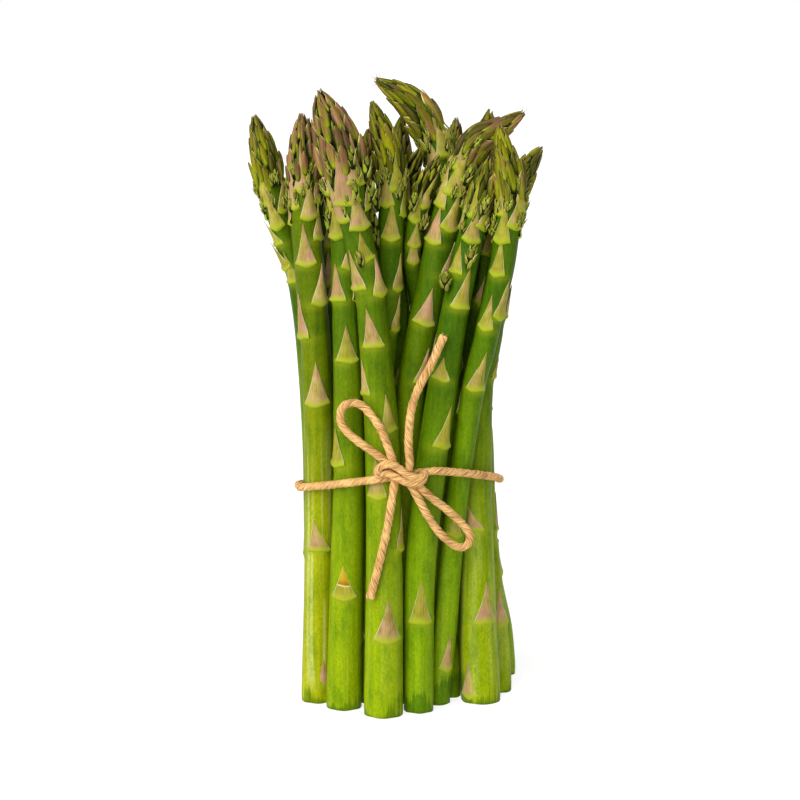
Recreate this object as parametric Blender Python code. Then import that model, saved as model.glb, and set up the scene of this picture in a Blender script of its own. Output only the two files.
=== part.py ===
"""Bundle of green asparagus, tied round the middle with a twine bow.

The bundle stands on its cut ends on the plane Z = 0. +X is the viewer's right, +Y leads away
from the viewer and +Z is up. Each spear is one solid: a tapering stem with its bracts, and a
head of overlapping scales. The twine is one solid: a ring, a knot, two loops and two ends.

Lists of places and sizes are in millimetres, and MM turns them into Blender's metres.
"""

import math

import bmesh
import bpy
import numpy as np

MM = 0.001

# The bundle as a whole: the height of the tie, and the clear space from stem to stem, from a scale
# to the next spear, and from a scale to the twine
TIE_HEIGHT = 85.0
STEM_GAP = 0.7
SCALE_GAP = 0.45
RING_GAP = 0.22
GOLDEN_ANGLE = math.radians(137.5)
SEED = 11

# Axis points a spear is worked out with, and how far the few that its stem keeps may stray
STATIONS = 56
STEM_TOLERANCE = 0.25

# Packing: rounds, the share of each push that is applied, how often a push is spread along the
# spear, and how far along one another two points may lie and still push
PACKING = {"rounds": 90, "step": 0.7, "spreads": 6, "reach": 6.0}

# The twine: its thickness, its clear space to the stems in the ring and in the bow, the points
# round its ring, and the points that each free run has for one point of its list
TWINE = 3.0
RING_CLEARANCE = 0.55
BOW_CLEARANCE = 1.0
RING_POINTS = 40
RUN_POINTS = 1.2

# A spear that packing may move less than this is one that the viewer sees
SEEN = 0.5

# Each spear: the route of its axis from the cut end to the tip; its girth (diameter) at the cut
# end, at the tie, at the neck and over the head; the length of its head; how far packing may
# move it, from 0 to 1; and the bracts that are seen on its stem, each as (height of its base,
# bearing in degrees from the front towards the right, length, width, lean of its tip in degrees).
SPEARS = {
    "spear_front_1": {
        "route": [(-27.3, -4.5, 0), (-26.6, -5, 45), (-26.0, -5, 80), (-27, -6, 122), (-29, -7, 155),
                  (-30.4, -7.6, 172), (-31.2, -8.2, 192), (-31.3, -8.5, 209.5)],
        "girth": (10.8, 10.8, 10.2, 11.0), "head": 36, "moves": 0.12,
        "bracts": [(7.9, 25, 9, 6, 0), (57.1, 0, 10.5, 9.2, -22), (109.2, 0, 15, 9.8, 0),
                   (132.9, -58, 15, 8.5, 0), (144.5, 40, 13.5, 8.5, 12), (158.4, -10, 14, 8, 4),
                   (166.5, 62, 12, 7.5, 0)],
    },
    "spear_front_2": {
        "route": [(-17.1, -10.5, 0), (-16, -11.5, 50), (-15.6, -12, 84), (-16, -12.5, 130),
                  (-16.8, -11, 163), (-18.5, -8.5, 183), (-21, -6, 204)],
        "girth": (12.6, 11.2, 9.0, 11.0), "head": 36, "moves": 0.12,
        "bracts": [(41.6, -8, 11, 9.5, 0), (90.7, -50, 10.5, 8, 0), (125.5, 0, 12, 8.7, 0),
                   (146.3, -38, 12, 8, 0), (157, 30, 11, 7.5, 0)],
    },
    "spear_front_3": {
        "route": [(-3.3, -19.5, 0), (-3.3, -19, 50), (-3.8, -18, 87), (-5, -17.5, 112), (-8, -18, 146),
                  (-11.8, -19, 166), (-15.6, -20.3, 183), (-19, -21.6, 200), (-25, -24, 217.5)],
        "girth": (13.8, 12.2, 9.8, 17.5), "head": 46, "moves": 0.05,
        "bracts": [(28.4, 12, 14.6, 10.7, 0), (60.3, 75, 14, 8.5, 0), (79, -22, 14.4, 7.8, 0),
                   (101.9, 30, 12.8, 7, -6), (115, -60, 11.5, 7, 0), (131.6, -5, 13.4, 8, -14),
                   (148.7, 53, 13.6, 8, 0), (151.7, -45, 13.7, 8, 0), (161, 12, 10, 7, 0)],
    },
    "spear_front_4": {
        "route": [(7.8, -15.8, 0), (8.6, -15.8, 37), (9.9, -15.9, 61), (13.2, -16, 91),
                  (16.5, -16.4, 114.6), (19.6, -17, 135), (23.2, -17, 154), (26, -16.8, 167),
                  (29, -16, 179), (32, -14.8, 195)],
        "girth": (10.6, 10.8, 9.0, 9.5), "head": 28, "moves": 0.1,
        "bracts": [(33.8, 5, 15.7, 8.9, 0), (96.5, 33, 14.5, 8, 14), (119.9, -15, 7.5, 7, 0),
                   (144.8, 15, 14, 7.5, 10), (156, -40, 10, 6.5, 0)],
    },
    "spear_front_5": {
        "route": [(15.8, -6.1, 0), (16.9, -7, 16.5), (19.7, -9, 53), (23.5, -11, 87), (27.4, -14.5, 115),
                  (31, -16.2, 130.6), (35.2, -18, 150), (37.6, -19, 164.5), (38.2, -20, 184),
                  (35.2, -20.5, 206)],
        "girth": (8.8, 7.6, 8.8, 11.0), "head": 40, "moves": 0.1,
        "bracts": [(14.5, 28, 12.5, 6, 0), (63.6, 0, 8, 6, 0), (116.3, 8, 13.5, 7.4, 8),
                   (137.3, -20, 12, 6, 0), (141.8, 42, 13.5, 6.5, 0), (155.9, -22, 13.5, 6, 0)],
    },
    "spear_front_6": {
        "route": [(30.4, -3.7, 0), (29.8, -3, 37), (28.8, -1.6, 73), (28.9, -1.8, 95),
                  (29.6, -3, 112.5), (32, -4, 128.7), (34.6, -5, 144.8), (37.9, -6, 162),
                  (41.5, -7, 184), (45.2, -7.6, 192), (50, -8, 197.8)],
        "girth": (14.2, 11.4, 8.4, 9.6), "head": 30, "moves": 0.12,
        "bracts": [(3.4, -38, 12.7, 7.3, 0), (30.4, 22, 14, 9, 8), (63.8, -5, 9, 6.8, -30),
                   (119, 70, 7, 5, 0), (140, 95, 11, 7, 0)],
    },
    "spear_second_1": {
        "route": [(-27, 7, 0), (-28.4, 5, 80), (-30.5, 3.5, 125), (-33.4, 1.5, 150), (-37.8, 0.5, 165),
                  (-40.9, 0, 176), (-43.2, 0, 188), (-45.4, 0, 198), (-48.2, 0, 208.5)],
        "girth": (8.0, 7.8, 7.4, 11.4), "head": 38, "moves": 0.3,
        "bracts": [(156.4, -50, 10, 6.5, 0), (163, -84, 10, 6, 0), (146, 130, 11, 6.5, 0)],
    },
    "spear_second_2": {
        "route": [(-14, 1.5, 0), (-14, 0, 87), (-13, 0.5, 130), (-11.5, 1, 170), (-9, 1, 203.3)],
        "girth": (9.0, 8.6, 8.0, 8.8), "head": 30, "moves": 1.0,
        "bracts": [],
    },
    "spear_second_3": {
        "route": [(-8, -6, 0), (-6.8, -6.5, 87), (-3.8, -8, 124), (-2, -9, 145), (-1, -9.6, 164),
                  (-0.7, -10, 183), (-2.4, -10.5, 198), (-7.6, -11, 213.5)],
        "girth": (9.0, 8.4, 8.6, 10.6), "head": 38, "moves": 0.3,
        "bracts": [(167.2, 0, 13.5, 7.2, 0), (150, 55, 12, 7, 0), (136, 60, 12, 7, 0)],
    },
    "spear_second_4": {
        "route": [(0.5, -4.5, 0), (3.6, -6.3, 80), (5.9, -8, 113), (8.7, -8.6, 129.5), (12.2, -9, 148.7),
                  (14.9, -9.2, 162.5), (20.9, -9.6, 183), (24.4, -10, 192), (29.3, -10, 199.8),
                  (36.2, -10, 204), (44.6, -10, 209.6)],
        "girth": (10.4, 10.4, 10.2, 11.2), "head": 42, "moves": 0.15,
        "bracts": [(138.2, -3, 12.5, 8.8, 6), (118, 40, 12, 7.5, 0), (165.3, -37, 13, 8, 0),
                   (170.8, 18, 13, 7.2, 0), (155, 60, 12, 7.5, 0)],
    },
    "spear_second_5": {
        "route": [(17, -4.5, 0), (17, -5, 87), (20.5, -3.5, 125), (24.5, -1.5, 152), (27.5, -1, 192)],
        "girth": (9.0, 8.8, 8.0, 9.0), "head": 30, "moves": 1.0,
        "bracts": [],
    },
    "spear_third_1": {
        "route": [(-21, 8, 0), (-20, 7.5, 87), (-22, 6, 130), (-24.8, 4, 165), (-26.8, 3, 190),
                  (-29.3, 2, 207.5)],
        "girth": (9.2, 9.0, 8.6, 9.8), "head": 34, "moves": 0.8,
        "bracts": [(150, 20, 12, 7, 0), (163, 40, 12, 7, 0)],
    },
    "spear_third_2": {
        "route": [(-10.5, 10, 0), (-10, 9, 87), (-6, 8, 130), (-1, 8, 175), (3.5, 8, 208)],
        "girth": (9.4, 9.2, 8.6, 10.0), "head": 34, "moves": 1.0,
        "bracts": [],
    },
    "spear_third_3": {
        "route": [(-3.5, 4, 0), (-3, 3.5, 87), (2, 0.5, 130), (4.2, -1, 150), (3.6, -2.5, 170),
                  (6.4, -3.2, 187), (11, -3.6, 198)],
        "girth": (7.6, 7.4, 6.4, 7.6), "head": 26, "moves": 0.6,
        "bracts": [(160, 0, 10, 6, 0)],
    },
    "spear_third_4": {
        "route": [(5, 5, 0), (5.6, 5, 87), (4, 7, 125), (5.4, 6, 146), (9.5, 3.5, 158), (12.8, 2, 169),
                  (15.2, 1, 180), (15.6, 1, 188), (14.6, 1, 196), (12, 1, 203), (8.6, 1, 209),
                  (3.6, 1, 214), (-6.4, 1, 220.4)],
        "girth": (9.6, 9.2, 8.4, 13.2), "head": 44, "moves": 0.3,
        "bracts": [(165, -10, 10, 6.5, 0), (152, 30, 11, 7, 0)],
    },
    "spear_third_5": {
        "route": [(14, 5, 0), (14, 5, 87), (9.5, 2.5, 125), (7.5, -1, 145), (6.8, -6, 160),
                  (7.6, -8.6, 173), (11, -9.4, 184), (15.9, -9.6, 195)],
        "girth": (7.6, 7.4, 6.2, 7.4), "head": 24, "moves": 0.6,
        "bracts": [(165, 10, 9, 5.6, 0)],
    },
    "spear_third_6": {
        "route": [(22.5, 6, 0), (22, 6, 87), (26, 6, 125), (30, 5, 155), (33, 4, 186)],
        "girth": (8.0, 8.0, 7.4, 8.6), "head": 28, "moves": 1.0,
        "bracts": [],
    },
    "spear_third_7": {
        "route": [(37.9, 7.2, 0), (36.4, 8, 22), (33.4, 9, 48), (30.8, 9.8, 78), (29.8, 10, 94),
                  (28.2, 10, 111), (27, 9.6, 127), (27, 9.2, 143), (27.6, 9, 157), (28.6, 8.6, 175),
                  (30.2, 8.2, 191), (33.4, 8, 210)],
        "girth": (10.0, 9.6, 8.2, 9.4), "head": 32, "moves": 0.3,
        "bracts": [(25.5, 38, 13, 8, 0), (60, 100, 13, 8, 0), (104, 75, 13, 7.5, 0), (44, 150, 13, 8, 0)],
    },
    "spear_back_1": {
        "route": [(-17, 18, 0), (-16, 17, 87), (-17, 18, 150), (-16, 20, 180), (-14, 21, 199)],
        "girth": (9.0, 8.8, 8.0, 9.6), "head": 34, "moves": 1.0,
        "bracts": [],
    },
    "spear_back_2": {
        "route": [(4, 17, 0), (3, 15.5, 87), (1, 17, 140), (2, 19, 180), (4, 20, 203)],
        "girth": (9.8, 9.4, 8.4, 10.0), "head": 36, "moves": 1.0,
        "bracts": [],
    },
    "spear_back_3": {
        "route": [(16, 17, 0), (15, 14.5, 87), (15, 16, 140), (15.5, 18, 172), (15, 20, 194)],
        "girth": (9.2, 9.0, 8.0, 9.6), "head": 32, "moves": 1.0,
        "bracts": [],
    },
    "spear_back_4": {
        "route": [(41, 28, 0), (39.3, 26, 18), (36, 23.5, 34), (33, 21, 55), (26.5, 18, 82),
                  (23.5, 16, 110), (21.5, 14, 145), (21, 13, 175), (21.8, 12, 207)],
        "girth": (9.0, 8.8, 7.4, 8.6), "head": 34, "moves": 0.4,
        "bracts": [(40, 60, 12, 7, 0), (70, 110, 12, 7, 0)],
    },
}

# Bracts out of the viewer's sight, round the stem by the golden angle: the height of the first,
# the step up to the next and its share near the head, their length, their width as a share of the
# stem's, the bare stretch under the head, and the bearing in degrees past which they are unseen
HIDDEN_BRACTS = {"first": 22.0, "step": 27.0, "closer": 0.72, "length": 12.5, "width": 0.8,
                 "bare": 8.0, "sight": 105.0}

# How far a bract's root, shoulders, keel and tip stand off the stem, and how far up its
# shoulders sit
BRACT_LIFTS = (-1.2, 0.15, 0.95, 0.5)
BRACT_SHOULDER = 0.16

# The head's scales: how many on a seen spear and on others, their length at the head's foot and
# tip on a head of the usual length, their width against the head's girth at its foot and tip, the
# share of the girth that the core takes, the depth of their roots, and the height of their shoulders
HEAD_SCALES = {"count": 12, "fewer": 9, "long": 13.0, "short": 8.0, "usual": 36.0, "wide": 0.81,
               "narrow": 0.36, "core": 0.8, "depth": 1.4, "shoulder": 0.34}

# A scale that would touch what lies beside it is pressed flatter in these steps
PRESSES = (1.0, 0.8, 0.6, 0.4, 0.2)

# The twine's ring: its height by bearing round the bundle, in degrees from the front to the right
RING_HEIGHTS = [(-180, 73.5), (-135, 75), (-90, 77.5), (-45, 82.5), (-8, 86), (25, 88.6), (52, 86.6),
                (78, 82.8), (102, 78.4), (140, 75), (180, 73.5)]

# The free runs of the twine, each from the knot outwards and, for a loop, back to it
TWINE_RUNS = {
    "loop_left": [(0.5, -26.2, 89), (-3.4, -27, 92.6), (-7.5, -26.8, 95.7), (-12.3, -26, 99),
                  (-16.2, -25, 102.3), (-18.2, -24.4, 106), (-17.4, -24.2, 110.4),
                  (-13.8, -24.6, 112), (-10.4, -25.4, 110.8), (-7.4, -26.2, 107.6),
                  (-4.4, -27, 103.2), (-2.2, -27.6, 97.8), (-0.4, -27.4, 92.6), (0.8, -26.4, 88.6)],
    "loop_right": [(4, -26.4, 87.4), (6.4, -27, 82.8), (8.8, -26.8, 78.3), (11.7, -26.3, 72.8),
                   (15.1, -25.5, 67.6), (19, -24.3, 63.4), (22.6, -23.2, 61.1), (25.6, -22.4, 62),
                   (26, -22.2, 65.6), (22.9, -22.8, 70), (18, -24, 74.8), (13.6, -25.3, 78.5),
                   (9.8, -26.4, 82.2), (6.6, -26.8, 86.4)],
    "end_up": [(4.5, -26.4, 86.4), (5.4, -27.4, 91), (5, -27.6, 97.6), (5.3, -27.5, 105),
               (6.4, -27, 112), (9, -26.3, 118.6), (12.6, -25.5, 125.2), (15.2, -24.8, 131),
               (17, -24.3, 135)],
    "end_down": [(0.6, -26.6, 87.4), (-0.2, -27.6, 82), (-1, -27.5, 76.5), (-2.9, -27.4, 65.6),
                 (-5.6, -27.3, 54.1), (-8.2, -26.6, 44)],
    "knot_over": [(-5, -26.2, 86.8), (-5.2, -28, 89.5), (-3.4, -29.3, 91.3), (-0.7, -29.8, 91.7),
                  (1.8, -29.9, 90.2), (4.6, -29.9, 88.2), (7.6, -29.5, 86.9), (10, -28.3, 87),
                  (10.6, -26.3, 88)],
    "knot_under": [(-1.6, -27.4, 88.4), (1.2, -29.1, 86.6), (4.4, -29.4, 85.2), (7.6, -28.9, 84.9),
                   (9.8, -27.4, 85.8), (10.2, -25.8, 87.4)],
}

STEM_COLOUR = (0.16, 0.30, 0.035)
TWINE_COLOUR = (0.60, 0.38, 0.19)


def clear_scene():
    """Remove whatever the file opened with."""
    for item in list(bpy.data.objects):
        bpy.data.objects.remove(item, do_unlink=True)


def new_collection(name):
    """Make a collection in the scene."""
    group = bpy.data.collections.new(name)
    bpy.context.scene.collection.children.link(group)
    return group


def plain_material(name, colour, roughness):
    """Make a Principled material of one colour."""
    material = bpy.data.materials.new(name)
    material.use_nodes = True
    shader = material.node_tree.nodes["Principled BSDF"]
    shader.inputs["Base Color"].default_value = (*colour, 1.0)
    shader.inputs["Roughness"].default_value = roughness
    shader.inputs["Metallic"].default_value = 0.0
    return material


def smooth_route(points, count):
    """Points evenly spaced by length on a Catmull-Rom curve through the given points."""
    knots = np.array(points, float)
    padded = np.vstack([2 * knots[0] - knots[1], knots, 2 * knots[-1] - knots[-2]])
    steps = np.linspace(0, 1, 24, endpoint=False)[:, None]
    pieces = []
    for a, b, c, d in zip(padded, padded[1:], padded[2:], padded[3:]):
        pieces.append(0.5 * (2 * b + (c - a) * steps + (2 * a - 5 * b + 4 * c - d) * steps ** 2
                             + (3 * b - a - 3 * c + d) * steps ** 3))
    fine = np.vstack(pieces + [knots[-1:]])
    return resampled(fine, count)


def resampled(fine, count):
    """The same polyline with evenly spaced points."""
    along = np.concatenate([[0], np.cumsum(np.linalg.norm(np.diff(fine, axis=0), axis=1))])
    wanted = np.linspace(0, along[-1], count)
    return np.column_stack([np.interp(wanted, along, fine[:, k]) for k in range(3)])


def directions(points):
    """Unit tangents of a polyline."""
    ahead = np.gradient(points, axis=0)
    return ahead / np.linalg.norm(ahead, axis=1)[:, None]


def stem_radius(spear, heights, shares):
    """Radius of the stem and of the head's core, by height and by share of the head passed."""
    foot, tie, neck, head = spear["girth"]
    neck_height = spear["route"][-1][2] - spear["head"]
    stem = np.interp(heights, [0, TIE_HEIGHT, neck_height], [foot, tie, neck]) / 2
    core = head * HEAD_SCALES["core"] / 2
    swell = np.interp(shares, [0, 0.3, 1], [0, 1, 1])
    taper = np.interp(shares, [0, 0.5, 0.72, 0.9, 1], [1.0, 1.0, 0.82, 0.48, 0.14])
    return (stem * (1 - swell) + core * swell) * taper


def outer_radius(spear, radius, shares):
    """Radius that the spear takes up with its scales."""
    head = spear["girth"][3] / 2
    over = np.interp(shares, [0, 0.12, 0.35, 0.6, 0.85, 1], [0, 0.85, 1.0, 0.95, 0.6, 0.3])
    return np.maximum(radius, over * head)


def lay_out():
    """Axis stations, radii and shares of the head for every spear, packed without overlap."""
    names = list(SPEARS)
    axes = np.array([smooth_route(SPEARS[name]["route"], STATIONS) for name in names])
    radii, outer, shares = [], [], []
    for name, axis in zip(names, axes):
        spear = SPEARS[name]
        along = np.concatenate([[0], np.cumsum(np.linalg.norm(np.diff(axis, axis=0), axis=1))])
        share = np.clip((along - along[-1] + spear["head"]) / spear["head"], 0, 1)
        radius = stem_radius(spear, axis[:, 2], share)
        shares.append(share)
        radii.append(radius)
        outer.append(outer_radius(spear, radius, share))
    moves = np.array([SPEARS[name]["moves"] for name in names])
    axes = packed(axes, np.array(outer), moves)
    return {name: {"axis": axes[k], "radius": radii[k], "share": shares[k]}
            for k, name in enumerate(names)}


def packed(axes, outer, moves):
    """Push overlapping axes apart sideways, the freer ones further, keeping each one smooth."""
    count = len(axes)
    for _ in range(PACKING["rounds"]):
        tangents = np.array([directions(axis) for axis in axes])
        shift = np.zeros_like(axes)
        for i in range(count):
            for j in range(count):
                if i == j:
                    continue
                apart = axes[i][:, None, :] - axes[j][None, :, :]
                nearest = np.argmin((apart ** 2).sum(axis=2), axis=1)
                gap = apart[np.arange(len(nearest)), nearest]
                along = (gap * tangents[j][nearest]).sum(axis=1)
                side = gap - along[:, None] * tangents[j][nearest]
                side[:, 2] = 0
                distance = np.linalg.norm(side, axis=1) + 1e-6
                need = outer[i] + outer[j][nearest] + STEM_GAP - distance
                near = np.abs(along) < PACKING["reach"]
                push = np.where((need > 0) & near, need, 0) * moves[i] / (moves[i] + moves[j])
                shift[i] += side / distance[:, None] * push[:, None]
        for i in range(count):
            blurred = shift[i].copy()
            for _ in range(PACKING["spreads"]):
                blurred[1:-1] = (blurred[:-2] + 2 * blurred[1:-1] + blurred[2:]) / 4
                blurred[0] = (blurred[0] + blurred[1]) / 2
                blurred[-1] = (blurred[-1] + blurred[-2]) / 2
            axes[i] = axes[i] + PACKING["step"] * blurred
            axes[i][0, :2] = axes[i][1, :2]
    return axes


def surface_point(spear, at, bearing, stand_off):
    """A point at a length along the axis, turned by a bearing and standing off the stem."""
    axis, radius = spear["axis"], spear["radius"]
    along = spear["along"]
    centre = np.array([np.interp(at, along, axis[:, k]) for k in range(3)])
    ahead = np.array([np.interp(at, along, spear["tangent"][:, k]) for k in range(3)])
    ahead /= np.linalg.norm(ahead)
    if at > along[-1]:
        centre = centre + ahead * (at - along[-1])
    front = np.array([0.0, -1.0, 0.0])
    front -= ahead * front.dot(ahead)
    front /= np.linalg.norm(front)
    right = np.cross(ahead, front)
    reach = np.interp(at, along, radius) + stand_off
    return centre + reach * (math.cos(bearing) * front + math.sin(bearing) * right)


def surface_gap(points, axis, radius):
    """Distance from each point to the bare surface of a tube along an axis."""
    start, span = axis[:-1], np.diff(axis, axis=0)
    away = np.atleast_2d(points)[:, None, :] - start[None, :, :]
    part = np.clip((away * span).sum(axis=2) / (span ** 2).sum(axis=1), 0, 1)
    reach = radius[:-1] + part * np.diff(radius)
    return (np.linalg.norm(away - part[:, :, None] * span, axis=2) - reach).min(axis=1)


def clear_of_others(corners, own, others):
    """Whether every corner lies nearer to its own spear's surface than to any other's."""
    own_gap = surface_gap(corners, own["axis"], own["radius"])
    gaps = [surface_gap(corners, other["axis"], other["radius"]) for other in others]
    return bool((np.min(gaps, axis=0) >= own_gap + SCALE_GAP).all())


def clear_of_ring(corners, ring):
    """Whether a scale's outer edges pass under the twine's ring without touching it."""
    left, right, keel, tip = corners
    shares = np.linspace(0, 1, 9)[:, None]
    edges = [a + (b - a) * shares for a, b in ((keel, tip), (left, tip), (right, tip), (keel, left),
                                               (keel, right))]
    return bool((surface_gap(np.vstack(edges), *ring) > RING_GAP).all())


def scale_object(name, corners, group):
    """A pointed scale from its five corners: root, left and right shoulder, keel and tip."""
    mesh = bpy.data.meshes.new(name)
    faces = [(0, 3, 1), (0, 2, 3), (1, 3, 4), (3, 2, 4), (0, 1, 4), (0, 4, 2)]
    mesh.from_pydata([tuple(corner * MM) for corner in corners], [], faces)
    shape = bmesh.new()
    shape.from_mesh(mesh)
    bmesh.ops.recalc_face_normals(shape, faces=shape.faces)
    shape.to_mesh(mesh)
    shape.free()
    item = bpy.data.objects.new(name, mesh)
    group.objects.link(item)
    return item


def scale_corners(spear, base, bearing, length, width, lean, lifts, shoulder_share):
    """The corners of a scale rooted at a length along the axis.

    lifts are how far the root, the shoulders, the keel and the tip stand off the stem. The
    shoulders sit a share of the way up, so the lower edge is a V.
    """
    root, shoulder, keel, tip = lifts
    girth = np.interp(base, spear["along"], spear["radius"]) + 0.5
    half = min(width / 2 / girth, math.radians(75))
    turn = math.radians(lean)
    places = [(base - 0.06 * length, bearing, root),
              (base + shoulder_share * length, bearing - half, shoulder),
              (base + shoulder_share * length, bearing + half, shoulder),
              (base + 0.2 * length, bearing + 0.2 * turn, keel),
              (base + length, bearing + turn, tip)]
    return np.array([surface_point(spear, *place) for place in places])


def fitted_scale(name, spear, others, ring, group, place, lifts, shoulder_share):
    """A scale pressed flatter, in steps, until it is clear of what lies beside it."""
    root = lifts[0]
    for press in PRESSES:
        pressed = [root] + [lift * press for lift in lifts[1:]]
        corners = scale_corners(spear, *place, pressed, shoulder_share)
        if clear_of_others(corners[1:], spear, others) and clear_of_ring(corners[1:], ring):
            return scale_object(name, corners, group)
    return None


def tube_object(name, points, radii, group, fineness):
    """A round tube along a route, with closed ends, as a welded mesh."""
    data = bpy.data.curves.new(name, "CURVE")
    data.dimensions = "3D"
    data.bevel_depth = MM
    data.bevel_resolution = fineness
    data.use_fill_caps = True
    spline = data.splines.new("POLY")
    spline.points.add(len(points) - 1)
    for slot, point, radius in zip(spline.points, points, radii):
        slot.co = (*(np.array(point) * MM), 1.0)
        slot.radius = radius
    curve = bpy.data.objects.new(name + "_route", data)
    group.objects.link(curve)
    bpy.context.view_layer.update()
    seen = curve.evaluated_get(bpy.context.evaluated_depsgraph_get())
    mesh = bpy.data.meshes.new_from_object(seen)
    mesh.name = name
    shape = bmesh.new()
    shape.from_mesh(mesh)
    bmesh.ops.remove_doubles(shape, verts=shape.verts, dist=1e-6)
    bmesh.ops.recalc_face_normals(shape, faces=shape.faces)
    shape.to_mesh(mesh)
    shape.free()
    item = bpy.data.objects.new(name, mesh)
    item.matrix_world = curve.matrix_world
    group.objects.link(item)
    bpy.data.objects.remove(curve, do_unlink=True)
    return item


def fuse(item, extras):
    """Union an object with everything in a collection, then empty the collection."""
    union = item.modifiers.new("fused", "BOOLEAN")
    union.operation = "UNION"
    union.operand_type = "COLLECTION"
    union.collection = extras
    union.solver = "EXACT"
    bpy.context.view_layer.update()
    seen = item.evaluated_get(bpy.context.evaluated_depsgraph_get())
    mesh = bpy.data.meshes.new_from_object(seen)
    item.modifiers.clear()
    item.data = mesh
    for extra in list(extras.objects):
        bpy.data.objects.remove(extra, do_unlink=True)


def few_stations(line, tolerance):
    """Indices of the fewest points that keep a polyline within a tolerance of its full self.

    The first two stay, so that the cut end is square to a short upright stretch.
    """
    kept = {0, 1, len(line) - 1}
    spans = [(1, len(line) - 1)]
    while spans:
        first, last = spans.pop()
        if last - first < 2:
            continue
        chord = line[last] - line[first]
        away = line[first + 1:last] - line[first]
        part = np.clip(away @ chord / (chord @ chord), 0, 1)
        drift = np.linalg.norm(away - part[:, None] * chord, axis=1)
        if drift.max() > tolerance:
            middle = first + 1 + int(drift.argmax())
            kept.add(middle)
            spans += [(first, middle), (middle, last)]
    return sorted(kept)


def bract_places(name, spear):
    """The bracts seen on the stem, and those behind, climbing by the golden angle."""
    sight = math.radians(HIDDEN_BRACTS["sight"])
    places = []
    for height, bearing, length, width, lean in SPEARS[name]["bracts"]:
        base = float(np.interp(height, spear["axis"][:, 2], spear["along"]))
        places.append((base, math.radians(bearing), length, width, lean))
    neck = spear["along"][-1] - spear["head"]
    order = list(SPEARS).index(name)
    base = HIDDEN_BRACTS["first"] + 3.0 * (order % 5)
    turn = order * GOLDEN_ANGLE
    while base < neck - HIDDEN_BRACTS["bare"]:
        facing = math.atan2(math.sin(turn), math.cos(turn))
        if abs(facing) > sight or SPEARS[name]["moves"] >= SEEN:
            width = HIDDEN_BRACTS["width"] * 2 * np.interp(base, spear["along"], spear["radius"])
            places.append((base, facing, HIDDEN_BRACTS["length"], width, 0))
        base += HIDDEN_BRACTS["step"] * (1.0 if base < neck / 2 else HIDDEN_BRACTS["closer"])
        turn += GOLDEN_ANGLE
    return places


def head_scale_places(name, spear, draw):
    """The head's scales, climbing by the golden angle and shrinking towards the tip.

    Each is a place as for a bract, and how far the scale stands off the head's core.
    """
    count = HEAD_SCALES["count" if SPEARS[name]["moves"] < SEEN else "fewer"]
    girth = SPEARS[name]["girth"][3]
    start = spear["along"][-1] - spear["head"]
    turn = draw.uniform(0, 2 * math.pi)
    places = []
    for k in range(count):
        share = (k / count) ** 0.9 * 0.84 - 0.05
        length = HEAD_SCALES["long"] + (HEAD_SCALES["short"] - HEAD_SCALES["long"]) * share
        length *= spear["head"] / HEAD_SCALES["usual"]
        wide = girth * (HEAD_SCALES["wide"] + (HEAD_SCALES["narrow"] - HEAD_SCALES["wide"]) * share)
        fullness = np.interp(share, [0, 0.2, 0.7, 1], [0.7, 1, 1, 0.6])
        stand = girth / 2 * (1 - HEAD_SCALES["core"]) * fullness
        places.append((start + share * spear["head"], turn, length, wide, 0, stand))
        turn += GOLDEN_ANGLE
    return places


def make_spear(name, laid_out, ring, parts, extras, draw):
    """One spear: stem and core as a tube, its bracts and its head's scales fused to it."""
    spear = laid_out[name]
    others = [laid_out[other] for other in laid_out if other != name]
    stations = few_stations(np.column_stack([spear["axis"], spear["radius"]]), STEM_TOLERANCE)
    item = tube_object(name, spear["axis"][stations], spear["radius"][stations], parts,
                       3 if name.startswith("spear_front") else 2)
    for k, place in enumerate(bract_places(name, spear)):
        fitted_scale(f"{name}_bract_{k}", spear, others, ring, extras, place, BRACT_LIFTS, BRACT_SHOULDER)
    for k, (*place, stand) in enumerate(head_scale_places(name, spear, draw)):
        lifts = (-HEAD_SCALES["depth"], 0.35 * stand, stand, 0.85 * stand)
        fitted_scale(f"{name}_scale_{k}", spear, others, ring, extras, place, lifts,
                     HEAD_SCALES["shoulder"])
    fuse(item, extras)
    return item


def ring_height(x, y):
    """Height of the twine's ring at a place round the bundle."""
    marks = np.array(RING_HEIGHTS, float)
    return np.interp(np.degrees(np.arctan2(x, -y)), marks[:, 0], marks[:, 1])


def ring_route(laid_out):
    """The twine's ring: the tight outline round all the stems, each taken at the ring's height."""
    discs = []
    for spear in laid_out.values():
        height = TIE_HEIGHT
        for _ in range(3):
            centre = [np.interp(height, spear["axis"][:, 2], spear["axis"][:, k]) for k in range(2)]
            height = ring_height(*centre)
        reach = np.interp(height, spear["axis"][:, 2], spear["radius"])
        discs.append((*centre, reach + TWINE / 2 + RING_CLEARANCE))
    discs = np.array(discs)
    bearings = np.radians(np.arange(-180, 180, 2.0))
    outward = np.column_stack([np.sin(bearings), -np.cos(bearings)])
    touch = np.argmax(outward @ discs[:, :2].T + discs[:, 2], axis=1)
    flat = discs[touch, :2] + discs[touch, 2:] * outward
    ring = np.column_stack([flat, ring_height(flat[:, 0], flat[:, 1])])
    return resampled(np.vstack([ring, ring[:1]]), RING_POINTS + 1)


def laid_over(route, laid_out):
    """A run of twine brought forward wherever it would press into a stem."""
    route = route.copy()
    for _ in range(4):
        gaps = [surface_gap(route, spear["axis"], spear["radius"]) for spear in laid_out.values()]
        lift = np.maximum(0, TWINE / 2 + BOW_CLEARANCE - np.min(gaps, axis=0))
        lift[1:-1] = np.maximum(lift[1:-1], 0.5 * (lift[:-2] + lift[2:]))
        route[:, 1] -= lift
    return route


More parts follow.
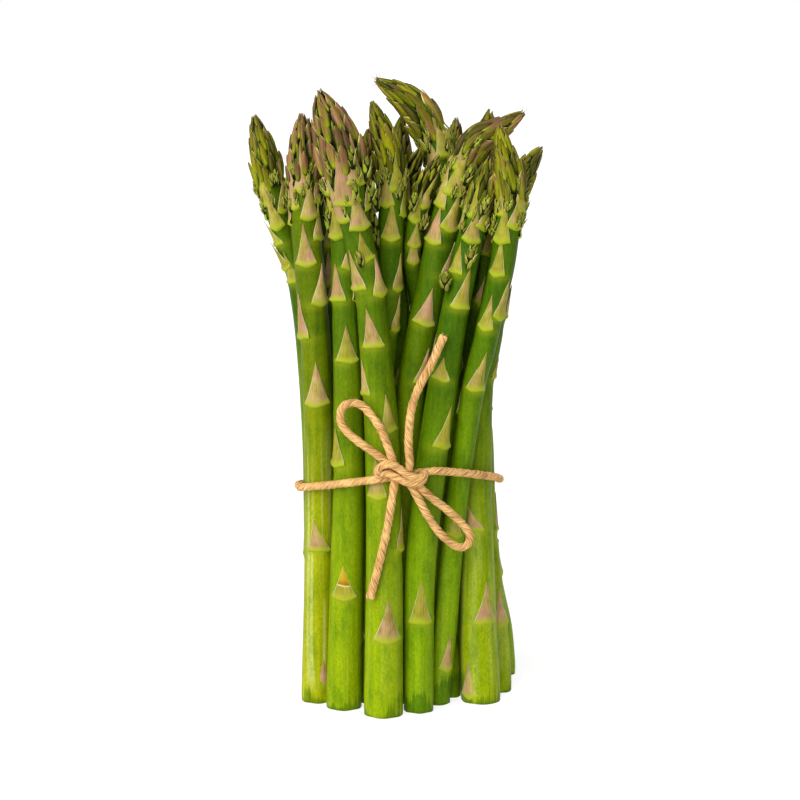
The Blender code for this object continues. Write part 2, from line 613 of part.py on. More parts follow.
def make_twine(laid_out, ring, parts, extras):
    """The twine: ring, knot, loops and ends fused in one solid."""
    at_knot = int(np.argmin(np.abs(ring[:, 0] - 3.0) + np.where(ring[:, 1] < 0, 0, 1000)))
    opened = np.vstack([ring[at_knot:-1], ring[:at_knot]])
    item = tube_object("twine", opened, np.full(len(opened), TWINE / 2), parts, 2)
    for run, points in TWINE_RUNS.items():
        route = laid_over(smooth_route(points, round(RUN_POINTS * len(points))), laid_out)
        tube_object(f"twine_{run}", route, np.full(len(route), TWINE / 2), extras, 2)
    fuse(item, extras)
    return item


def main():
    clear_scene()
    parts = new_collection("bundle_of_asparagus")
    extras = new_collection("pieces_to_fuse")
    green = plain_material("asparagus_green", STEM_COLOUR, 0.42)
    tan = plain_material("twine_tan", TWINE_COLOUR, 0.85)
    laid_out = lay_out()
    for name, spear in laid_out.items():
        steps = np.linalg.norm(np.diff(spear["axis"], axis=0), axis=1)
        spear["along"] = np.concatenate([[0], np.cumsum(steps)])
        spear["tangent"] = directions(spear["axis"])
        spear["head"] = SPEARS[name]["head"]
    route = ring_route(laid_out)
    ring = (route, np.full(len(route), TWINE / 2))
    draw = np.random.RandomState(SEED)
    for name in laid_out:
        make_spear(name, laid_out, ring, parts, extras, draw).data.materials.append(green)
    make_twine(laid_out, route, parts, extras).data.materials.append(tan)


main()
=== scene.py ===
"""A bundle of green asparagus, tied round the middle with a twine bow.

Each spear is grown as one fine surface: a stem with its ribs, bracts with a raised rim, a head of
overlapping scales, and the small side buds in their axils. The twine is four plies twisted
together and laid as a ring, a knot, two loops and two loose ends.

The bundle stands on the plane Z = 0. +X is the viewer's right, +Y leads away from the viewer and
+Z is up. Lists of places and sizes are in millimetres, and MM turns them into metres.
"""

import math

import bpy
import numpy as np
from bpy.props import EnumProperty, FloatProperty, FloatVectorProperty, IntProperty, PointerProperty
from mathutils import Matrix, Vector


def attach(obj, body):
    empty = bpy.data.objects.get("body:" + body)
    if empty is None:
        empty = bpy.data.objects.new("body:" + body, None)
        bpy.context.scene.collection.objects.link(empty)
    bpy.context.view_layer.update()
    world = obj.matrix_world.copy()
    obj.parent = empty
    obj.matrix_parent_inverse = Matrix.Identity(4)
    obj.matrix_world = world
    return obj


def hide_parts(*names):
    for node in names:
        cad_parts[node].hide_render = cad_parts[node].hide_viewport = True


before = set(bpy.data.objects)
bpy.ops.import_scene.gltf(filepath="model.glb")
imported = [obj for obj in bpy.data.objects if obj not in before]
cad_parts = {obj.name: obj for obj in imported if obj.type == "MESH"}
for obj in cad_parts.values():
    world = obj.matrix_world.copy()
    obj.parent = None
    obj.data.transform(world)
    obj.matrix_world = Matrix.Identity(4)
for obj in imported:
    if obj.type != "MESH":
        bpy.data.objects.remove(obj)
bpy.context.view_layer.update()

bl_info = {
    "name": "Bundle of asparagus",
    "version": (1, 0, 0),
    "blender": (4, 5, 0),
    "location": "3D View > Sidebar > Asparagus",
    "description": "Grows a bundle of green asparagus tied with a twine bow",
    "category": "Add Mesh",
}

MM = 0.001

# The bundle as a whole: the height of the tie, the clear space from stem to stem, the angle from
# each bract or scale to the next, and the seed
TIE_HEIGHT = 85.0
STEM_GAP = 0.7
GOLDEN_ANGLE = math.radians(137.5)
SEED = 11

# Axis points a spear is laid out with, the step along it that its surface is worked out at, and
# the points of a smooth curve from each given point to the next
STATIONS = 56
FINE_STEP = 0.5
CURVE_STEPS = 24

# Packing: rounds, the share of each push that is applied, how often a push is spread along the
# spear, and how far along one another two points may lie and still push
PACKING = {"rounds": 90, "step": 0.7, "spreads": 6, "reach": 6.0}

# A spear that packing may move less than this is one that the viewer sees
SEEN = 0.5

# The rows of spears, from the front to the back
ROWS = {"front": "The spears in front", "second": "The spears just behind them",
        "third": "The spears whose heads are seen", "back": "The spears at the back"}

# The finishes of a spear's piece by number, and the twine's, which is alone on its pieces
STEM, BRACT, SCALE, BUD, CUT = range(5)
TWINE = 0

# Rings along a surface and faces round it, some of them by whether the spear is seen
BRACT_GRID = {True: (22, 20), False: (14, 12)}
LOOSE_GRID = {True: (16, 14), False: (12, 10)}
SCALE_GRID = {True: (12, 12), False: (9, 10)}
SLIVER_GRID = (7, 6)
BUD_GRID = (6, 7)
CORE_GRID = (6, 6)
HAIR_GRID = (5, 3)

# Ribs and slow waves of a stem: how many go round it and their depth as a share of its radius,
# and the share by which its foot draws in
FINE_RIBS = (7, 0.010)
BROAD_RIBS = (3, 0.016)
STEM_WAVE = 0.014
FOOT_TAPER = 0.012

# Under each bract the stem swells, dips and turns lighter: how much, how far below the bract's
# base and over what length
NODE_SWELL = (0.36, 0.3, 1.3)
NODE_DIP = (-0.20, 4.0, 2.4)
NODE_GLOW = (1.0, 0.9, 1.6)

# How much the front of a roughly cut foot is raised
CHIP_RISE = 0.42

# Radius of the stem inside a head, as a share of the head's girth
CORE_SHARE = 0.4

# The sizes that the shapes of a head, a bract and a head scale are written for: the head's
# length, the bract's width and the head's radius
USUAL_HEAD = 36.0
USUAL_WIDTH = 9.0
USUAL_REACH = 5.0

# The head's loose wide scales and its close plump ones: the share of the head that they are
# counted over, how far apart they are in close scales, and the shares from which and over which
# their bases climb
LOOSE_SCALES = {"counted": 0.38, "apart": 2.6, "start": -0.03, "climb": 0.36}
CLOSE_SCALES = {"counted": 0.72, "start": 0.27, "climb": 0.69}

# Scales of a side bud
BUD_SCALES = 9

# Hairs at a tip: their length and radius, and how far below the tip they start
TIP_HAIR = {"length": 3.6, "radius": 0.15, "sunk": 1.5}

# Top of the range of a random phase
TURN = 6.28

# Each spear: the route of its axis from the cut end to the tip; its girth (diameter) at the cut
# end, at the tie, at the neck and over the head; the length of its head; how far packing may
# move it, from 0 to 1; and the bracts that are seen on its stem, each as (height of its base,
# bearing in degrees from the front towards the right, length, width, lean of its tip in degrees,
# how much it blushes, or -1 for a torn one, and for some how far the tip stands off the stem).
SPEARS = {
    "spear_front_1": {
        "route": [(-27.3, -4.5, 0), (-26.6, -5, 45), (-26.0, -5, 80), (-27, -6, 122), (-29, -7, 155),
                  (-30.4, -7.6, 172), (-31.2, -8.2, 192), (-31.3, -8.5, 209.5)],
        "girth": (10.8, 10.8, 10.2, 11.0), "head": 36, "moves": 0.12,
        "bracts": [(7.9, 25, 9, 6, 0, 1), (57.1, 0, 10.5, 9.2, -22, 0.62), (109.2, 0, 15, 9.8, 0, 0.78),
                   (132.9, -58, 15, 8.5, 0, 0.85), (144.5, 40, 13.5, 8.5, 12, 0.8),
                   (158.4, -10, 14, 8, 4, 0.7), (166.5, 62, 12, 7.5, 0, 0.6)],
    },
    "spear_front_2": {
        "route": [(-17.1, -10.5, 0), (-16, -11.5, 50), (-15.6, -12, 84), (-16, -12.5, 130),
                  (-16.8, -11, 163), (-18.5, -8.5, 183), (-21, -6, 204)],
        "girth": (12.6, 11.2, 9.0, 11.0), "head": 36, "moves": 0.12,
        "bracts": [(41.6, -8, 11.5, 9.8, -6, -1), (88.8, -56, 13, 9.2, 8, 0.0, 0.7),
                   (125.5, 0, 12, 8.7, 0, 0.2), (146.3, -38, 12, 8, 0, 0.6), (157, 30, 11, 7.5, 0, 0.5)],
    },
    "spear_front_3": {
        "route": [(-3.3, -19.5, 0), (-3.3, -19, 50), (-3.8, -18, 87), (-5, -17.5, 112), (-8, -18, 146),
                  (-11.8, -19, 166), (-15.6, -20.3, 183), (-19, -21.6, 200), (-25, -24, 217.5)],
        "girth": (13.8, 12.2, 9.8, 17.5), "head": 46, "moves": 0.05,
        "bracts": [(28.4, 12, 14.6, 10.7, 0, 0.62), (60.3, 75, 14, 8.5, 0, 0.3), (79, -22, 14.4, 7.8, 0, 0.5),
                   (101.9, 30, 12.8, 7, -6, 0.35), (115, -60, 11.5, 7, 0, 0.7),
                   (131.6, -5, 13.4, 8, -14, 0.55), (148.7, 53, 13.6, 8, 0, 0.7),
                   (151.7, -45, 13.7, 8, 0, 0.6), (161, 12, 10, 7, 0, 0.25)],
    },
    "spear_front_4": {
        "route": [(7.8, -15.8, 0), (8.6, -15.8, 37), (9.9, -15.9, 61), (13.2, -16, 91),
                  (16.5, -16.4, 114.6), (19.6, -17, 135), (23.2, -17, 154), (26, -16.8, 167),
                  (29, -16, 179), (32, -14.8, 195)],
        "girth": (10.6, 10.8, 9.0, 9.5), "head": 28, "moves": 0.1,
        "bracts": [(33.8, 5, 15.7, 8.9, 0, 0.18), (96.5, 33, 14.5, 8, 14, 0.12),
                   (119.9, -15, 7.5, 7, 0, 0.25), (144.8, 15, 14, 7.5, 10, 0.3),
                   (156, -40, 10, 6.5, 0, 0.25)],
    },
    "spear_front_5": {
        "route": [(15.8, -6.1, 0), (16.9, -7, 16.5), (19.7, -9, 53), (23.5, -11, 87), (27.4, -14.5, 115),
                  (31, -16.2, 130.6), (35.2, -18, 150), (37.6, -19, 164.5), (38.2, -20, 184),
                  (35.2, -20.5, 206)],
        "girth": (8.8, 7.6, 8.8, 11.0), "head": 40, "moves": 0.1,
        "bracts": [(14.5, 28, 12.5, 6, 0, 0.55), (63.6, 0, 8, 6, 0, 0.25), (116.3, 8, 13.5, 7.4, 8, 0.3),
                   (137.3, -20, 12, 6, 0, 0.35), (141.8, 42, 13.5, 6.5, 0, 0.3),
                   (155.9, -22, 13.5, 6, 0, 0.25)],
    },
    "spear_front_6": {
        "route": [(30.4, -3.7, 0), (29.8, -3, 37), (28.8, -1.6, 73), (28.9, -1.8, 95),
                  (29.6, -3, 112.5), (32, -4, 128.7), (34.6, -5, 144.8), (37.9, -6, 162),
                  (41.5, -7, 184), (45.2, -7.6, 192), (50, -8, 197.8)],
        "girth": (14.2, 11.4, 8.4, 9.6), "head": 30, "moves": 0.12,
        "bracts": [(3.4, -38, 12.7, 7.3, 0, 1), (30.4, 22, 14, 9, 8, 0.95), (63.8, -5, 9, 6.8, -30, 0.85),
                   (119, 70, 7, 5, 0, 0.4), (140, 95, 11, 7, 0, 0.3)],
    },
    "spear_second_1": {
        "route": [(-27, 7, 0), (-28.4, 5, 80), (-30.5, 3.5, 125), (-33.4, 1.5, 150), (-37.8, 0.5, 165),
                  (-40.9, 0, 176), (-43.2, 0, 188), (-45.4, 0, 198), (-48.2, 0, 208.5)],
        "girth": (8.0, 7.8, 7.4, 11.4), "head": 38, "moves": 0.3,
        "bracts": [(151.5, -24, 11, 6, 0, 0.3), (165, -48, 8.5, 6.2, -36, 0.2, 1.2),
                   (156.5, -58, 10, 7, -14, 0.2, 1.4),
                   (146, 130, 11, 6.5, 0, 0.3)],
    },
    "spear_second_2": {
        "route": [(-14, 1.5, 0), (-14, 0, 87), (-13, 0.5, 130), (-11.5, 1, 170), (-9, 1, 203.3)],
        "girth": (9.0, 8.6, 8.0, 8.8), "head": 30, "moves": 1.0,
        "bracts": [],
    },
    "spear_second_3": {
        "route": [(-8, -6, 0), (-6.8, -6.5, 87), (-3.8, -8, 124), (-2, -9, 145), (-1, -9.6, 164),
                  (-0.7, -10, 183), (-2.4, -10.5, 198), (-7.6, -11, 213.5)],
        "girth": (9.0, 8.4, 8.6, 10.6), "head": 38, "moves": 0.3,
        "bracts": [(167.2, 0, 13.5, 7.2, 0, 0.3), (150, 55, 12, 7, 0, 0.5), (136, 60, 12, 7, 0, 0.5)],
    },
    "spear_second_4": {
        "route": [(0.5, -4.5, 0), (3.6, -6.3, 80), (5.9, -8, 113), (8.7, -8.6, 129.5), (12.2, -9, 148.7),
                  (14.9, -9.2, 162.5), (20.9, -9.6, 183), (24.4, -10, 192), (29.3, -10, 199.8),
                  (36.2, -10, 204), (44.6, -10, 209.6)],
        "girth": (10.4, 10.4, 10.2, 11.2), "head": 42, "moves": 0.15,
        "bracts": [(138.2, -3, 12.5, 8.8, 6, 0.9), (118, 40, 12, 7.5, 0, 0.8), (165.3, -37, 13, 8, 0, 0.65),
                   (170.8, 18, 13, 7.2, 0, 0.3), (155, 60, 12, 7.5, 0, 0.5)],
    },
    "spear_second_5": {
        "route": [(17, -4.5, 0), (17, -5, 87), (20.5, -3.5, 125), (24.5, -1.5, 152), (27.5, -1, 192)],
        "girth": (9.0, 8.8, 8.0, 9.0), "head": 30, "moves": 1.0,
        "bracts": [],
    },
    "spear_third_1": {
        "route": [(-21, 8, 0), (-20, 7.5, 87), (-22, 6, 130), (-24.8, 4, 165), (-26.8, 3, 190),
                  (-29.3, 2, 207.5)],
        "girth": (9.2, 9.0, 8.6, 9.8), "head": 34, "moves": 0.8,
        "bracts": [(150, 20, 12, 7, 0, 0.7), (163, 40, 12, 7, 0, 0.6)],
    },
    "spear_third_2": {
        "route": [(-10.5, 10, 0), (-10, 9, 87), (-6, 8, 130), (-1, 8, 175), (3.5, 8, 208)],
        "girth": (9.4, 9.2, 8.6, 10.0), "head": 34, "moves": 1.0,
        "bracts": [],
    },
    "spear_third_3": {
        "route": [(-3.5, 4, 0), (-3, 3.5, 87), (2, 0.5, 130), (4.2, -1, 150), (3.6, -2.5, 170),
                  (6.4, -3.2, 187), (11, -3.6, 198)],
        "girth": (7.6, 7.4, 6.4, 7.6), "head": 26, "moves": 0.6,
        "bracts": [(160, 0, 10, 6, 0, 0.35)],
    },
    "spear_third_4": {
        "route": [(5, 5, 0), (5.6, 5, 87), (4, 7, 125), (5.4, 6, 146), (9.5, 3.5, 158), (12.8, 2, 169),
                  (15.2, 1, 180), (15.6, 1, 188), (14.6, 1, 196), (12, 1, 203), (8.6, 1, 209),
                  (3.6, 1, 214), (-6.4, 1, 220.4)],
        "girth": (9.6, 9.2, 8.4, 13.2), "head": 44, "moves": 0.3,
        "bracts": [(165, -10, 10, 6.5, 0, 0.4), (152, 30, 11, 7, 0, 0.45)],
    },
    "spear_third_5": {
        "route": [(14, 5, 0), (14, 5, 87), (9.5, 2.5, 125), (7.5, -1, 145), (6.8, -6, 160),
                  (7.6, -8.6, 173), (11, -9.4, 184), (15.9, -9.6, 195)],
        "girth": (7.6, 7.4, 6.2, 7.4), "head": 24, "moves": 0.6,
        "bracts": [(165, 10, 9, 5.6, 0, 0.4)],
    },
    "spear_third_6": {
        "route": [(22.5, 6, 0), (22, 6, 87), (26, 6, 125), (30, 5, 155), (33, 4, 186)],
        "girth": (8.0, 8.0, 7.4, 8.6), "head": 28, "moves": 1.0,
        "bracts": [],
    },
    "spear_third_7": {
        "route": [(37.9, 7.2, 0), (36.4, 8, 22), (33.4, 9, 48), (30.8, 9.8, 78), (29.8, 10, 94),
                  (28.2, 10, 111), (27, 9.6, 127), (27, 9.2, 143), (27.6, 9, 157), (28.6, 8.6, 175),
                  (30.2, 8.2, 191), (33.4, 8, 210)],
        "girth": (10.0, 9.6, 8.2, 9.4), "head": 32, "moves": 0.3,
        "bracts": [(25.5, 38, 13, 8, 0, 0.9), (60, 100, 13, 8, 0, 0.6), (104, 75, 13, 7.5, 0, 0.5),
                   (44, 150, 13, 8, 0, 0.5)],
    },
    "spear_back_1": {
        "route": [(-17, 18, 0), (-16, 17, 87), (-17, 18, 150), (-16, 20, 180), (-14, 21, 199)],
        "girth": (9.0, 8.8, 8.0, 9.6), "head": 34, "moves": 1.0,
        "bracts": [],
    },
    "spear_back_2": {
        "route": [(4, 17, 0), (3, 15.5, 87), (1, 17, 140), (2, 19, 180), (4, 20, 203)],
        "girth": (9.8, 9.4, 8.4, 10.0), "head": 36, "moves": 1.0,
        "bracts": [],
    },
    "spear_back_3": {
        "route": [(16, 17, 0), (15, 14.5, 87), (15, 16, 140), (15.5, 18, 172), (15, 20, 194)],
        "girth": (9.2, 9.0, 8.0, 9.6), "head": 32, "moves": 1.0,
        "bracts": [],
    },
    "spear_back_4": {
        "route": [(41, 28, 0), (39.3, 26, 18), (36, 23.5, 34), (33, 21, 55), (26.5, 18, 82),
                  (23.5, 16, 110), (21.5, 14, 145), (21, 13, 175), (21.8, 12, 207)],
        "girth": (9.0, 8.8, 7.4, 8.6), "head": 34, "moves": 0.4,
        "bracts": [(40, 60, 12, 7, 0, 0.5), (70, 110, 12, 7, 0, 0.5)],
    },
}

# Bracts out of the viewer's sight, round the stem by the golden angle: the height of the first,
# the step up to the next and its share near the head, their length, their width as a share of the
# stem's, the bare stretch under the head, the bearing in degrees past which they are unseen, and
# how much they blush
HIDDEN_BRACTS = {"first": 22.0, "step": 27.0, "closer": 0.72, "length": 12.5, "width": 0.8,
                 "bare": 8.0, "sight": 105.0, "blush": 0.5}

# The head's own look by spear: how much its scales blush from green to mauve
HEAD_BLUSH = {"spear_front_1": 0.72, "spear_front_3": 0.8, "spear_third_1": 0.75, "spear_second_2": 0.4,
              "spear_second_1": 0.2, "spear_second_3": 0.22, "spear_third_4": 0.3, "spear_second_4": 0.5,
              "spear_front_5": 0.12, "spear_third_3": 0.3, "spear_front_6": 0.15}
USUAL_BLUSH = 0.25

# How widely the scales stand apart in the ragged heads, and how wide they are in the coarse ones
HEAD_RAGGED = {"spear_back_4": 2.4, "spear_third_3": 2.4, "spear_third_5": 2.2, "spear_third_7": 1.4}
HEAD_COARSE = {"spear_second_4": 1.35, "spear_third_4": 1.2, "spear_back_4": 0.7, "spear_third_3": 0.8,
               "spear_third_5": 0.8}

# How yellow each spear's skin is, from green to olive
SKIN_TINT = {"spear_front_1": 1.0, "spear_front_2": 0.3, "spear_front_3": 0.3, "spear_front_4": 0.0,
             "spear_front_5": 0.0, "spear_front_6": 0.4, "spear_second_1": 0.4, "spear_third_7": 0.4}
USUAL_TINT = 0.2

# Side shoots on the stems: height, bearing, length, girth and how far each leans out
SIDE_SHOOTS = {
    "spear_second_3": [(176, -65, 9, 3.6, 0.4), (169, -80, 9, 3.6, 0.4), (163, -60, 8, 3.2, 0.3),
                       (158, -85, 8, 3.2, 0.3)],
    "spear_front_3": [(191, 30, 8, 3.4, 0.35), (186, 58, 8.5, 3.6, 0.5), (181, 20, 7.5, 3.2, 0.4),
                      (179, 75, 8, 3.2, 0.5), (159, -8, 6, 3.2, 0.3)],
    "spear_front_4": [(158, 10, 8.5, 3.8, 0.35), (149, -52, 7, 4.2, 0.5), (176, 20, 7, 3.2, 0.4)],
    "spear_third_3": [(178, -55, 8, 3.4, 0.5), (173, -15, 7.5, 3.4, 0.4), (170, 30, 7, 3.0, 0.4)],
    "spear_third_5": [(176, -30, 7, 3.0, 0.4), (170, 35, 7, 3.0, 0.4)],
    "spear_second_4": [(186, 25, 7, 3.0, 0.3), (178, 50, 7, 3.0, 0.4), (197, 5, 6, 2.6, 0.3)],
    "spear_second_2": [(186, 10, 7, 3.0, 0.3), (178, -20, 7, 3.0, 0.3)],
}

# Hair-thin spikes at the tips of some heads: the way each one leans aside
TIP_HAIRS = {
    "spear_third_4": [(0.1, -0.3, 0.5), (-0.2, -0.2, -0.7), (0.5, 0.1, 0.6), (-0.3, 0.3, 0.2)],
    "spear_front_3": [(0.1, -0.3, 0), (-0.25, -0.1, 0), (0.3, 0.1, 0)],
    "spear_second_4": [(0.2, -0.3, 0.3), (-0.2, -0.1, 0.4), (0.1, -0.2, -0.4)],
}

# The twine: the height of its ring by bearing round the bundle, in degrees from the front to the
# right, and its free runs, each from the knot outwards and, for a loop, back to it
RING_HEIGHTS = [(-180, 73.5), (-135, 75), (-90, 77.5), (-45, 82.5), (-8, 86), (25, 88.6), (52, 86.6),
                (78, 82.8), (102, 78.4), (140, 75), (180, 73.5)]
KNOT_RUNS = {
    "loop_left": [(0.5, -26.2, 89), (-3.4, -27, 92.6), (-7.5, -26.8, 95.7), (-12.3, -26, 99),
                  (-16.2, -25, 102.3), (-18.2, -24.4, 106), (-17.4, -24.2, 110.4),
                  (-13.8, -24.6, 112), (-10.4, -25.4, 110.8), (-7.4, -26.2, 107.6),
                  (-4.4, -27, 103.2), (-2.2, -27.6, 97.8), (-0.4, -27.4, 92.6), (0.8, -26.4, 88.6)],
    "loop_right": [(4, -26.4, 87.4), (6.4, -27, 82.8), (8.8, -26.8, 78.3), (11.7, -26.3, 72.8),
                   (15.1, -25.5, 67.6), (19, -24.3, 63.4), (22.6, -23.2, 61.1), (25.6, -22.4, 62),
                   (26, -22.2, 65.6), (22.9, -22.8, 70), (18, -24, 74.8), (13.6, -25.3, 78.5),
                   (9.8, -26.4, 82.2), (6.6, -26.8, 86.4)],
    "knot_over": [(-5, -26.2, 86.8), (-5.2, -28, 89.5), (-3.4, -29.3, 91.3), (-0.7, -29.8, 91.7),
                  (1.8, -29.9, 90.2), (4.6, -29.9, 88.2), (7.6, -29.5, 86.9), (10, -28.3, 87),
                  (10.6, -26.3, 88)],
    "knot_under": [(-4.4, -26.8, 87.8), (-1.8, -28.2, 88.2), (1.2, -29.1, 86.9), (4.4, -29.4, 85.4),
                   (7.6, -28.9, 84.9), (9.8, -27.4, 85.8), (10.2, -25.8, 87.4)],
}
END_RUNS = {
    "end_up": [(4.5, -26.4, 86.4), (5.4, -27.4, 91), (5, -27.6, 97.6), (5.3, -27.5, 105),
               (6.4, -27, 112), (9, -26.3, 118.6), (12.6, -25.5, 125.2), (15.2, -24.8, 131),
               (17, -24.3, 135)],
    "end_down": [(0.6, -26.6, 87.4), (-0.2, -27.6, 82), (-1, -27.5, 76.5), (-2.9, -27.4, 65.6),
                 (-5.6, -27.3, 54.1), (-8.2, -26.6, 44)],
}

# Clear space from the twine to the stems in the ring and in the bow
RING_CLEARANCE = 0.2
BOW_CLEARANCE = 0.25

# How often a run of twine is brought forward off the stems, and the stride between the points of a
# stem that its distance is taken from
LAY_ROUNDS = 4
STEM_STRIDE = 6

# Points round the ring, and how far to the right of the middle it starts and ends in the knot
RING_POINTS = 160
RING_START = 3.0

# Faces round the twine, the step along it, the length that a step stands for when stray fibres
# are counted, a fibre's radius, and how many more fibres a cut end has
TWINE_FACES = 28
TWINE_STEP = 0.4
FIBRE_STEP = 0.42
FIBRE_RADIUS = 0.045
END_FIBRES = 26


def colour_setting(name, description, default):
    """A setting that holds a colour."""
    return FloatVectorProperty(name=name, description=description, default=default, subtype="COLOR")


def length_setting(name, description, default):
    """A setting that holds a length in metres."""
    return FloatProperty(name=name, description=description, default=default, unit="LENGTH")


class AsparagusSpearSettings(bpy.types.PropertyGroup):
    """Sizes and colours of the spears."""
    faces_around: IntProperty(name="Faces around", description="Faces round a stem seen from the front",
                              default=36, min=16)
    row_length: length_setting("Row length", "Length of a stem's faces", 0.0011)
    rim_height: length_setting("Rim height", "How far the rim under a bract stands out", 0.0008)
    bract_thickness: length_setting("Bract thickness", "Thickness of a bract along its keel", 0.0009)
    scale_spacing: length_setting("Scale spacing", "Length of head for each of its scales", 0.00072)
    foot_colour: colour_setting("Foot colour", "Skin at the cut end", (0.175, 0.285, 0.001))
    middle_colour: colour_setting("Middle colour", "Skin halfway up", (0.135, 0.235, 0.001))
    top_colour: colour_setting("Top colour", "Skin under the head", (0.050, 0.114, 0.001))
    rim_colour: colour_setting("Rim colour", "The rim under a bract", (0.300, 0.355, 0.012))
    blush_colour: colour_setting("Blush colour", "A bract that has turned mauve", (0.395, 0.225, 0.118))
    pale_colour: colour_setting("Pale colour", "A bract that has stayed yellow", (0.265, 0.240, 0.022))
    scale_colour: colour_setting("Scale colour", "A head scale's green", (0.150, 0.162, 0.001))
    streak_colour: colour_setting("Streak colour", "A head scale's brown streaks", (0.085, 0.038, 0.008))
    mauve_colour: colour_setting("Mauve colour", "A head scale that blushes", (0.172, 0.090, 0.046))
    # Pale scale edges: partly their own margin, brightened as a painted highlight of lit rims
    margin_highlight_colour: colour_setting("Margin colour", "The thin edges of all scales", (0.570, 0.530, 0.190))
    bud_colour: colour_setting("Bud colour", "The side buds", (0.200, 0.270, 0.006))
    # The stem between the head's scales, painted dark as shade
    head_shade_colour: colour_setting("Depth colour", "The stem between the head's scales",
                                 (0.022, 0.030, 0.001))


class AsparagusTwineSettings(bpy.types.PropertyGroup):
    """Sizes and colours of the twine."""
    thickness: length_setting("Thickness", "The twine's diameter", 0.003)
    lay: length_setting("Lay", "Length in which a ply goes once round", 0.0105)
    plies: IntProperty(name="Plies", description="Plies twisted together", default=4, min=2)
    groove: length_setting("Groove", "Depth of the groove between plies", 0.00030)
    fuzz_length: length_setting("Fuzz length", "Length of a stray fibre", 0.0014)
    fuzz_spacing: length_setting("Fuzz spacing", "Length of twine for each stray fibre", 0.0013)
    colour: colour_setting("Colour", "Fibres on the plies' crowns", (0.720, 0.425, 0.155))
    # Painted shade down between the plies
    groove_shade_colour: colour_setting("Groove colour", "Fibres down between the plies", (0.120, 0.045, 0.010))


class AsparagusStageSettings(bpy.types.PropertyGroup):
    """The floor, the lights and the camera."""
    floor_reach: length_setting("Floor reach", "Half the floor's side", 30.0)
    floor_colour: colour_setting("Floor colour", "The floor", (0.35, 0.35, 0.35))
    floor_glow: FloatProperty(name="Floor glow", description="Light of the floor's own", default=0.765)
    key_strength: FloatProperty(name="Key strength", description="The key light, front left", default=4.1)
    rim_strength: FloatProperty(name="Rim strength", description="The light from behind", default=1.0)
    room_light: FloatProperty(name="Room light", description="Light from above the horizon", default=0.2)
    eye: FloatVectorProperty(name="Eye", description="The camera's place", default=(0.0021, -0.745, 0.240),
                             subtype="TRANSLATION", unit="LENGTH")
    tilt: FloatProperty(name="Tilt", description="How far the camera looks down", default=math.radians(10),
                        subtype="ANGLE")
    lens: FloatProperty(name="Lens", description="Focal length on a 36 mm sensor", default=96.66)


class Surface:
    """Tubes gathered into one mesh.

    Each tube is a grid of rings, closed round and at both ends by a pole. Its look values are
    kept for every point, its chart becomes the UV map, and its finish is a material's number.
    """

    def __init__(self):
        self.count = 0
        self.points, self.looks = [], []
        self.quads, self.quad_charts, self.quad_finishes = [], [], []
        self.caps, self.cap_charts, self.cap_finishes = [], [], []

    def add_tube(self, rings, look, chart, finish):
        """Add rings (rows, around, 3) with look (rows, around, 4) and chart (rows, around + 1, 2)."""
        rows, around = rings.shape[:2]
        index = self.count + np.arange(rows * around).reshape(rows, around)
        ahead = np.roll(index, -1, axis=1)
        quads = np.stack([index[:-1], ahead[:-1], ahead[1:], index[1:]], axis=-1)
        corners = np.stack([chart[:-1, :-1], chart[:-1, 1:], chart[1:, 1:], chart[1:, :-1]], axis=-2)
        self.quads.append(quads.reshape(-1, 4))
        self.quad_charts.append(corners.reshape(-1, 4, 2))
        self.quad_finishes.append(np.full(quads.shape[0] * around, finish))
        for row, pole, turn in ((0, 0, -1), (rows - 1, 1, 1)):
            centre = np.full(around, self.count + rows * around + pole)
            pair = (index[row], ahead[row])[::turn]
            self.caps.append(np.stack([pair[0], pair[1], centre], axis=-1))
            edge = (chart[row, :-1], chart[row, 1:])[::turn]
            middle = np.broadcast_to(chart[row, :-1].mean(axis=0), (around, 2))
            self.cap_charts.append(np.stack([edge[0], edge[1], middle], axis=1))
            self.cap_finishes.append(np.full(around, finish))
        self.points += [rings.reshape(-1, 3), rings[[0, -1]].mean(axis=1)]
        self.looks += [look.reshape(-1, 4), look[[0, -1]].mean(axis=1)]
        self.count += rows * around + 2

    def to_object(self, name, materials):
        """Make the mesh object, at the origin, with its place in its mesh."""
        points = np.concatenate(self.points) * MM
        quads, caps = np.concatenate(self.quads), np.concatenate(self.caps)
        corners = np.concatenate([quads.ravel(), caps.ravel()])
        starts = np.concatenate([np.arange(len(quads)) * 4, len(quads) * 4 + np.arange(len(caps)) * 3])
        mesh = bpy.data.meshes.new(name)
        mesh.vertices.add(len(points))
        mesh.vertices.foreach_set("co", points.astype(np.float32).ravel())
        mesh.loops.add(len(corners))
        mesh.loops.foreach_set("vertex_index", corners.astype(np.int32))
        mesh.polygons.add(len(starts))
        mesh.polygons.foreach_set("loop_start", starts.astype(np.int32))
        finishes = np.concatenate(self.quad_finishes + self.cap_finishes)
        mesh.polygons.foreach_set("material_index", finishes.astype(np.int32))
        mesh.update(calc_edges=True)
        charts = np.concatenate([np.concatenate(self.quad_charts).reshape(-1, 2),
                                 np.concatenate(self.cap_charts).reshape(-1, 2)])
        mesh.uv_layers.new(name="chart").data.foreach_set("uv", charts.astype(np.float32).ravel())
        look = mesh.color_attributes.new("look", "FLOAT_COLOR", "POINT")
        look.data.foreach_set("color", np.concatenate(self.looks).astype(np.float32).ravel())
        mesh.shade_smooth()
        mesh.validate()
        for material in materials:
            mesh.materials.append(material)
        item = bpy.data.objects.new(name, mesh)
        bpy.context.scene.collection.objects.link(item)
        return item


def steps_of(points):
    """Lengths of a polyline's segments."""
    return np.linalg.norm(np.diff(points, axis=0), axis=1)


def lengths_to(points):
    """Length of a polyline from its start to each of its points."""
    return np.concatenate([[0], np.cumsum(steps_of(points))])


def resampled(fine, count):
    """The same polyline with evenly spaced points."""
    along = lengths_to(fine)
    wanted = np.linspace(0, along[-1], count)
    return np.column_stack([np.interp(wanted, along, fine[:, k]) for k in range(fine.shape[1])])


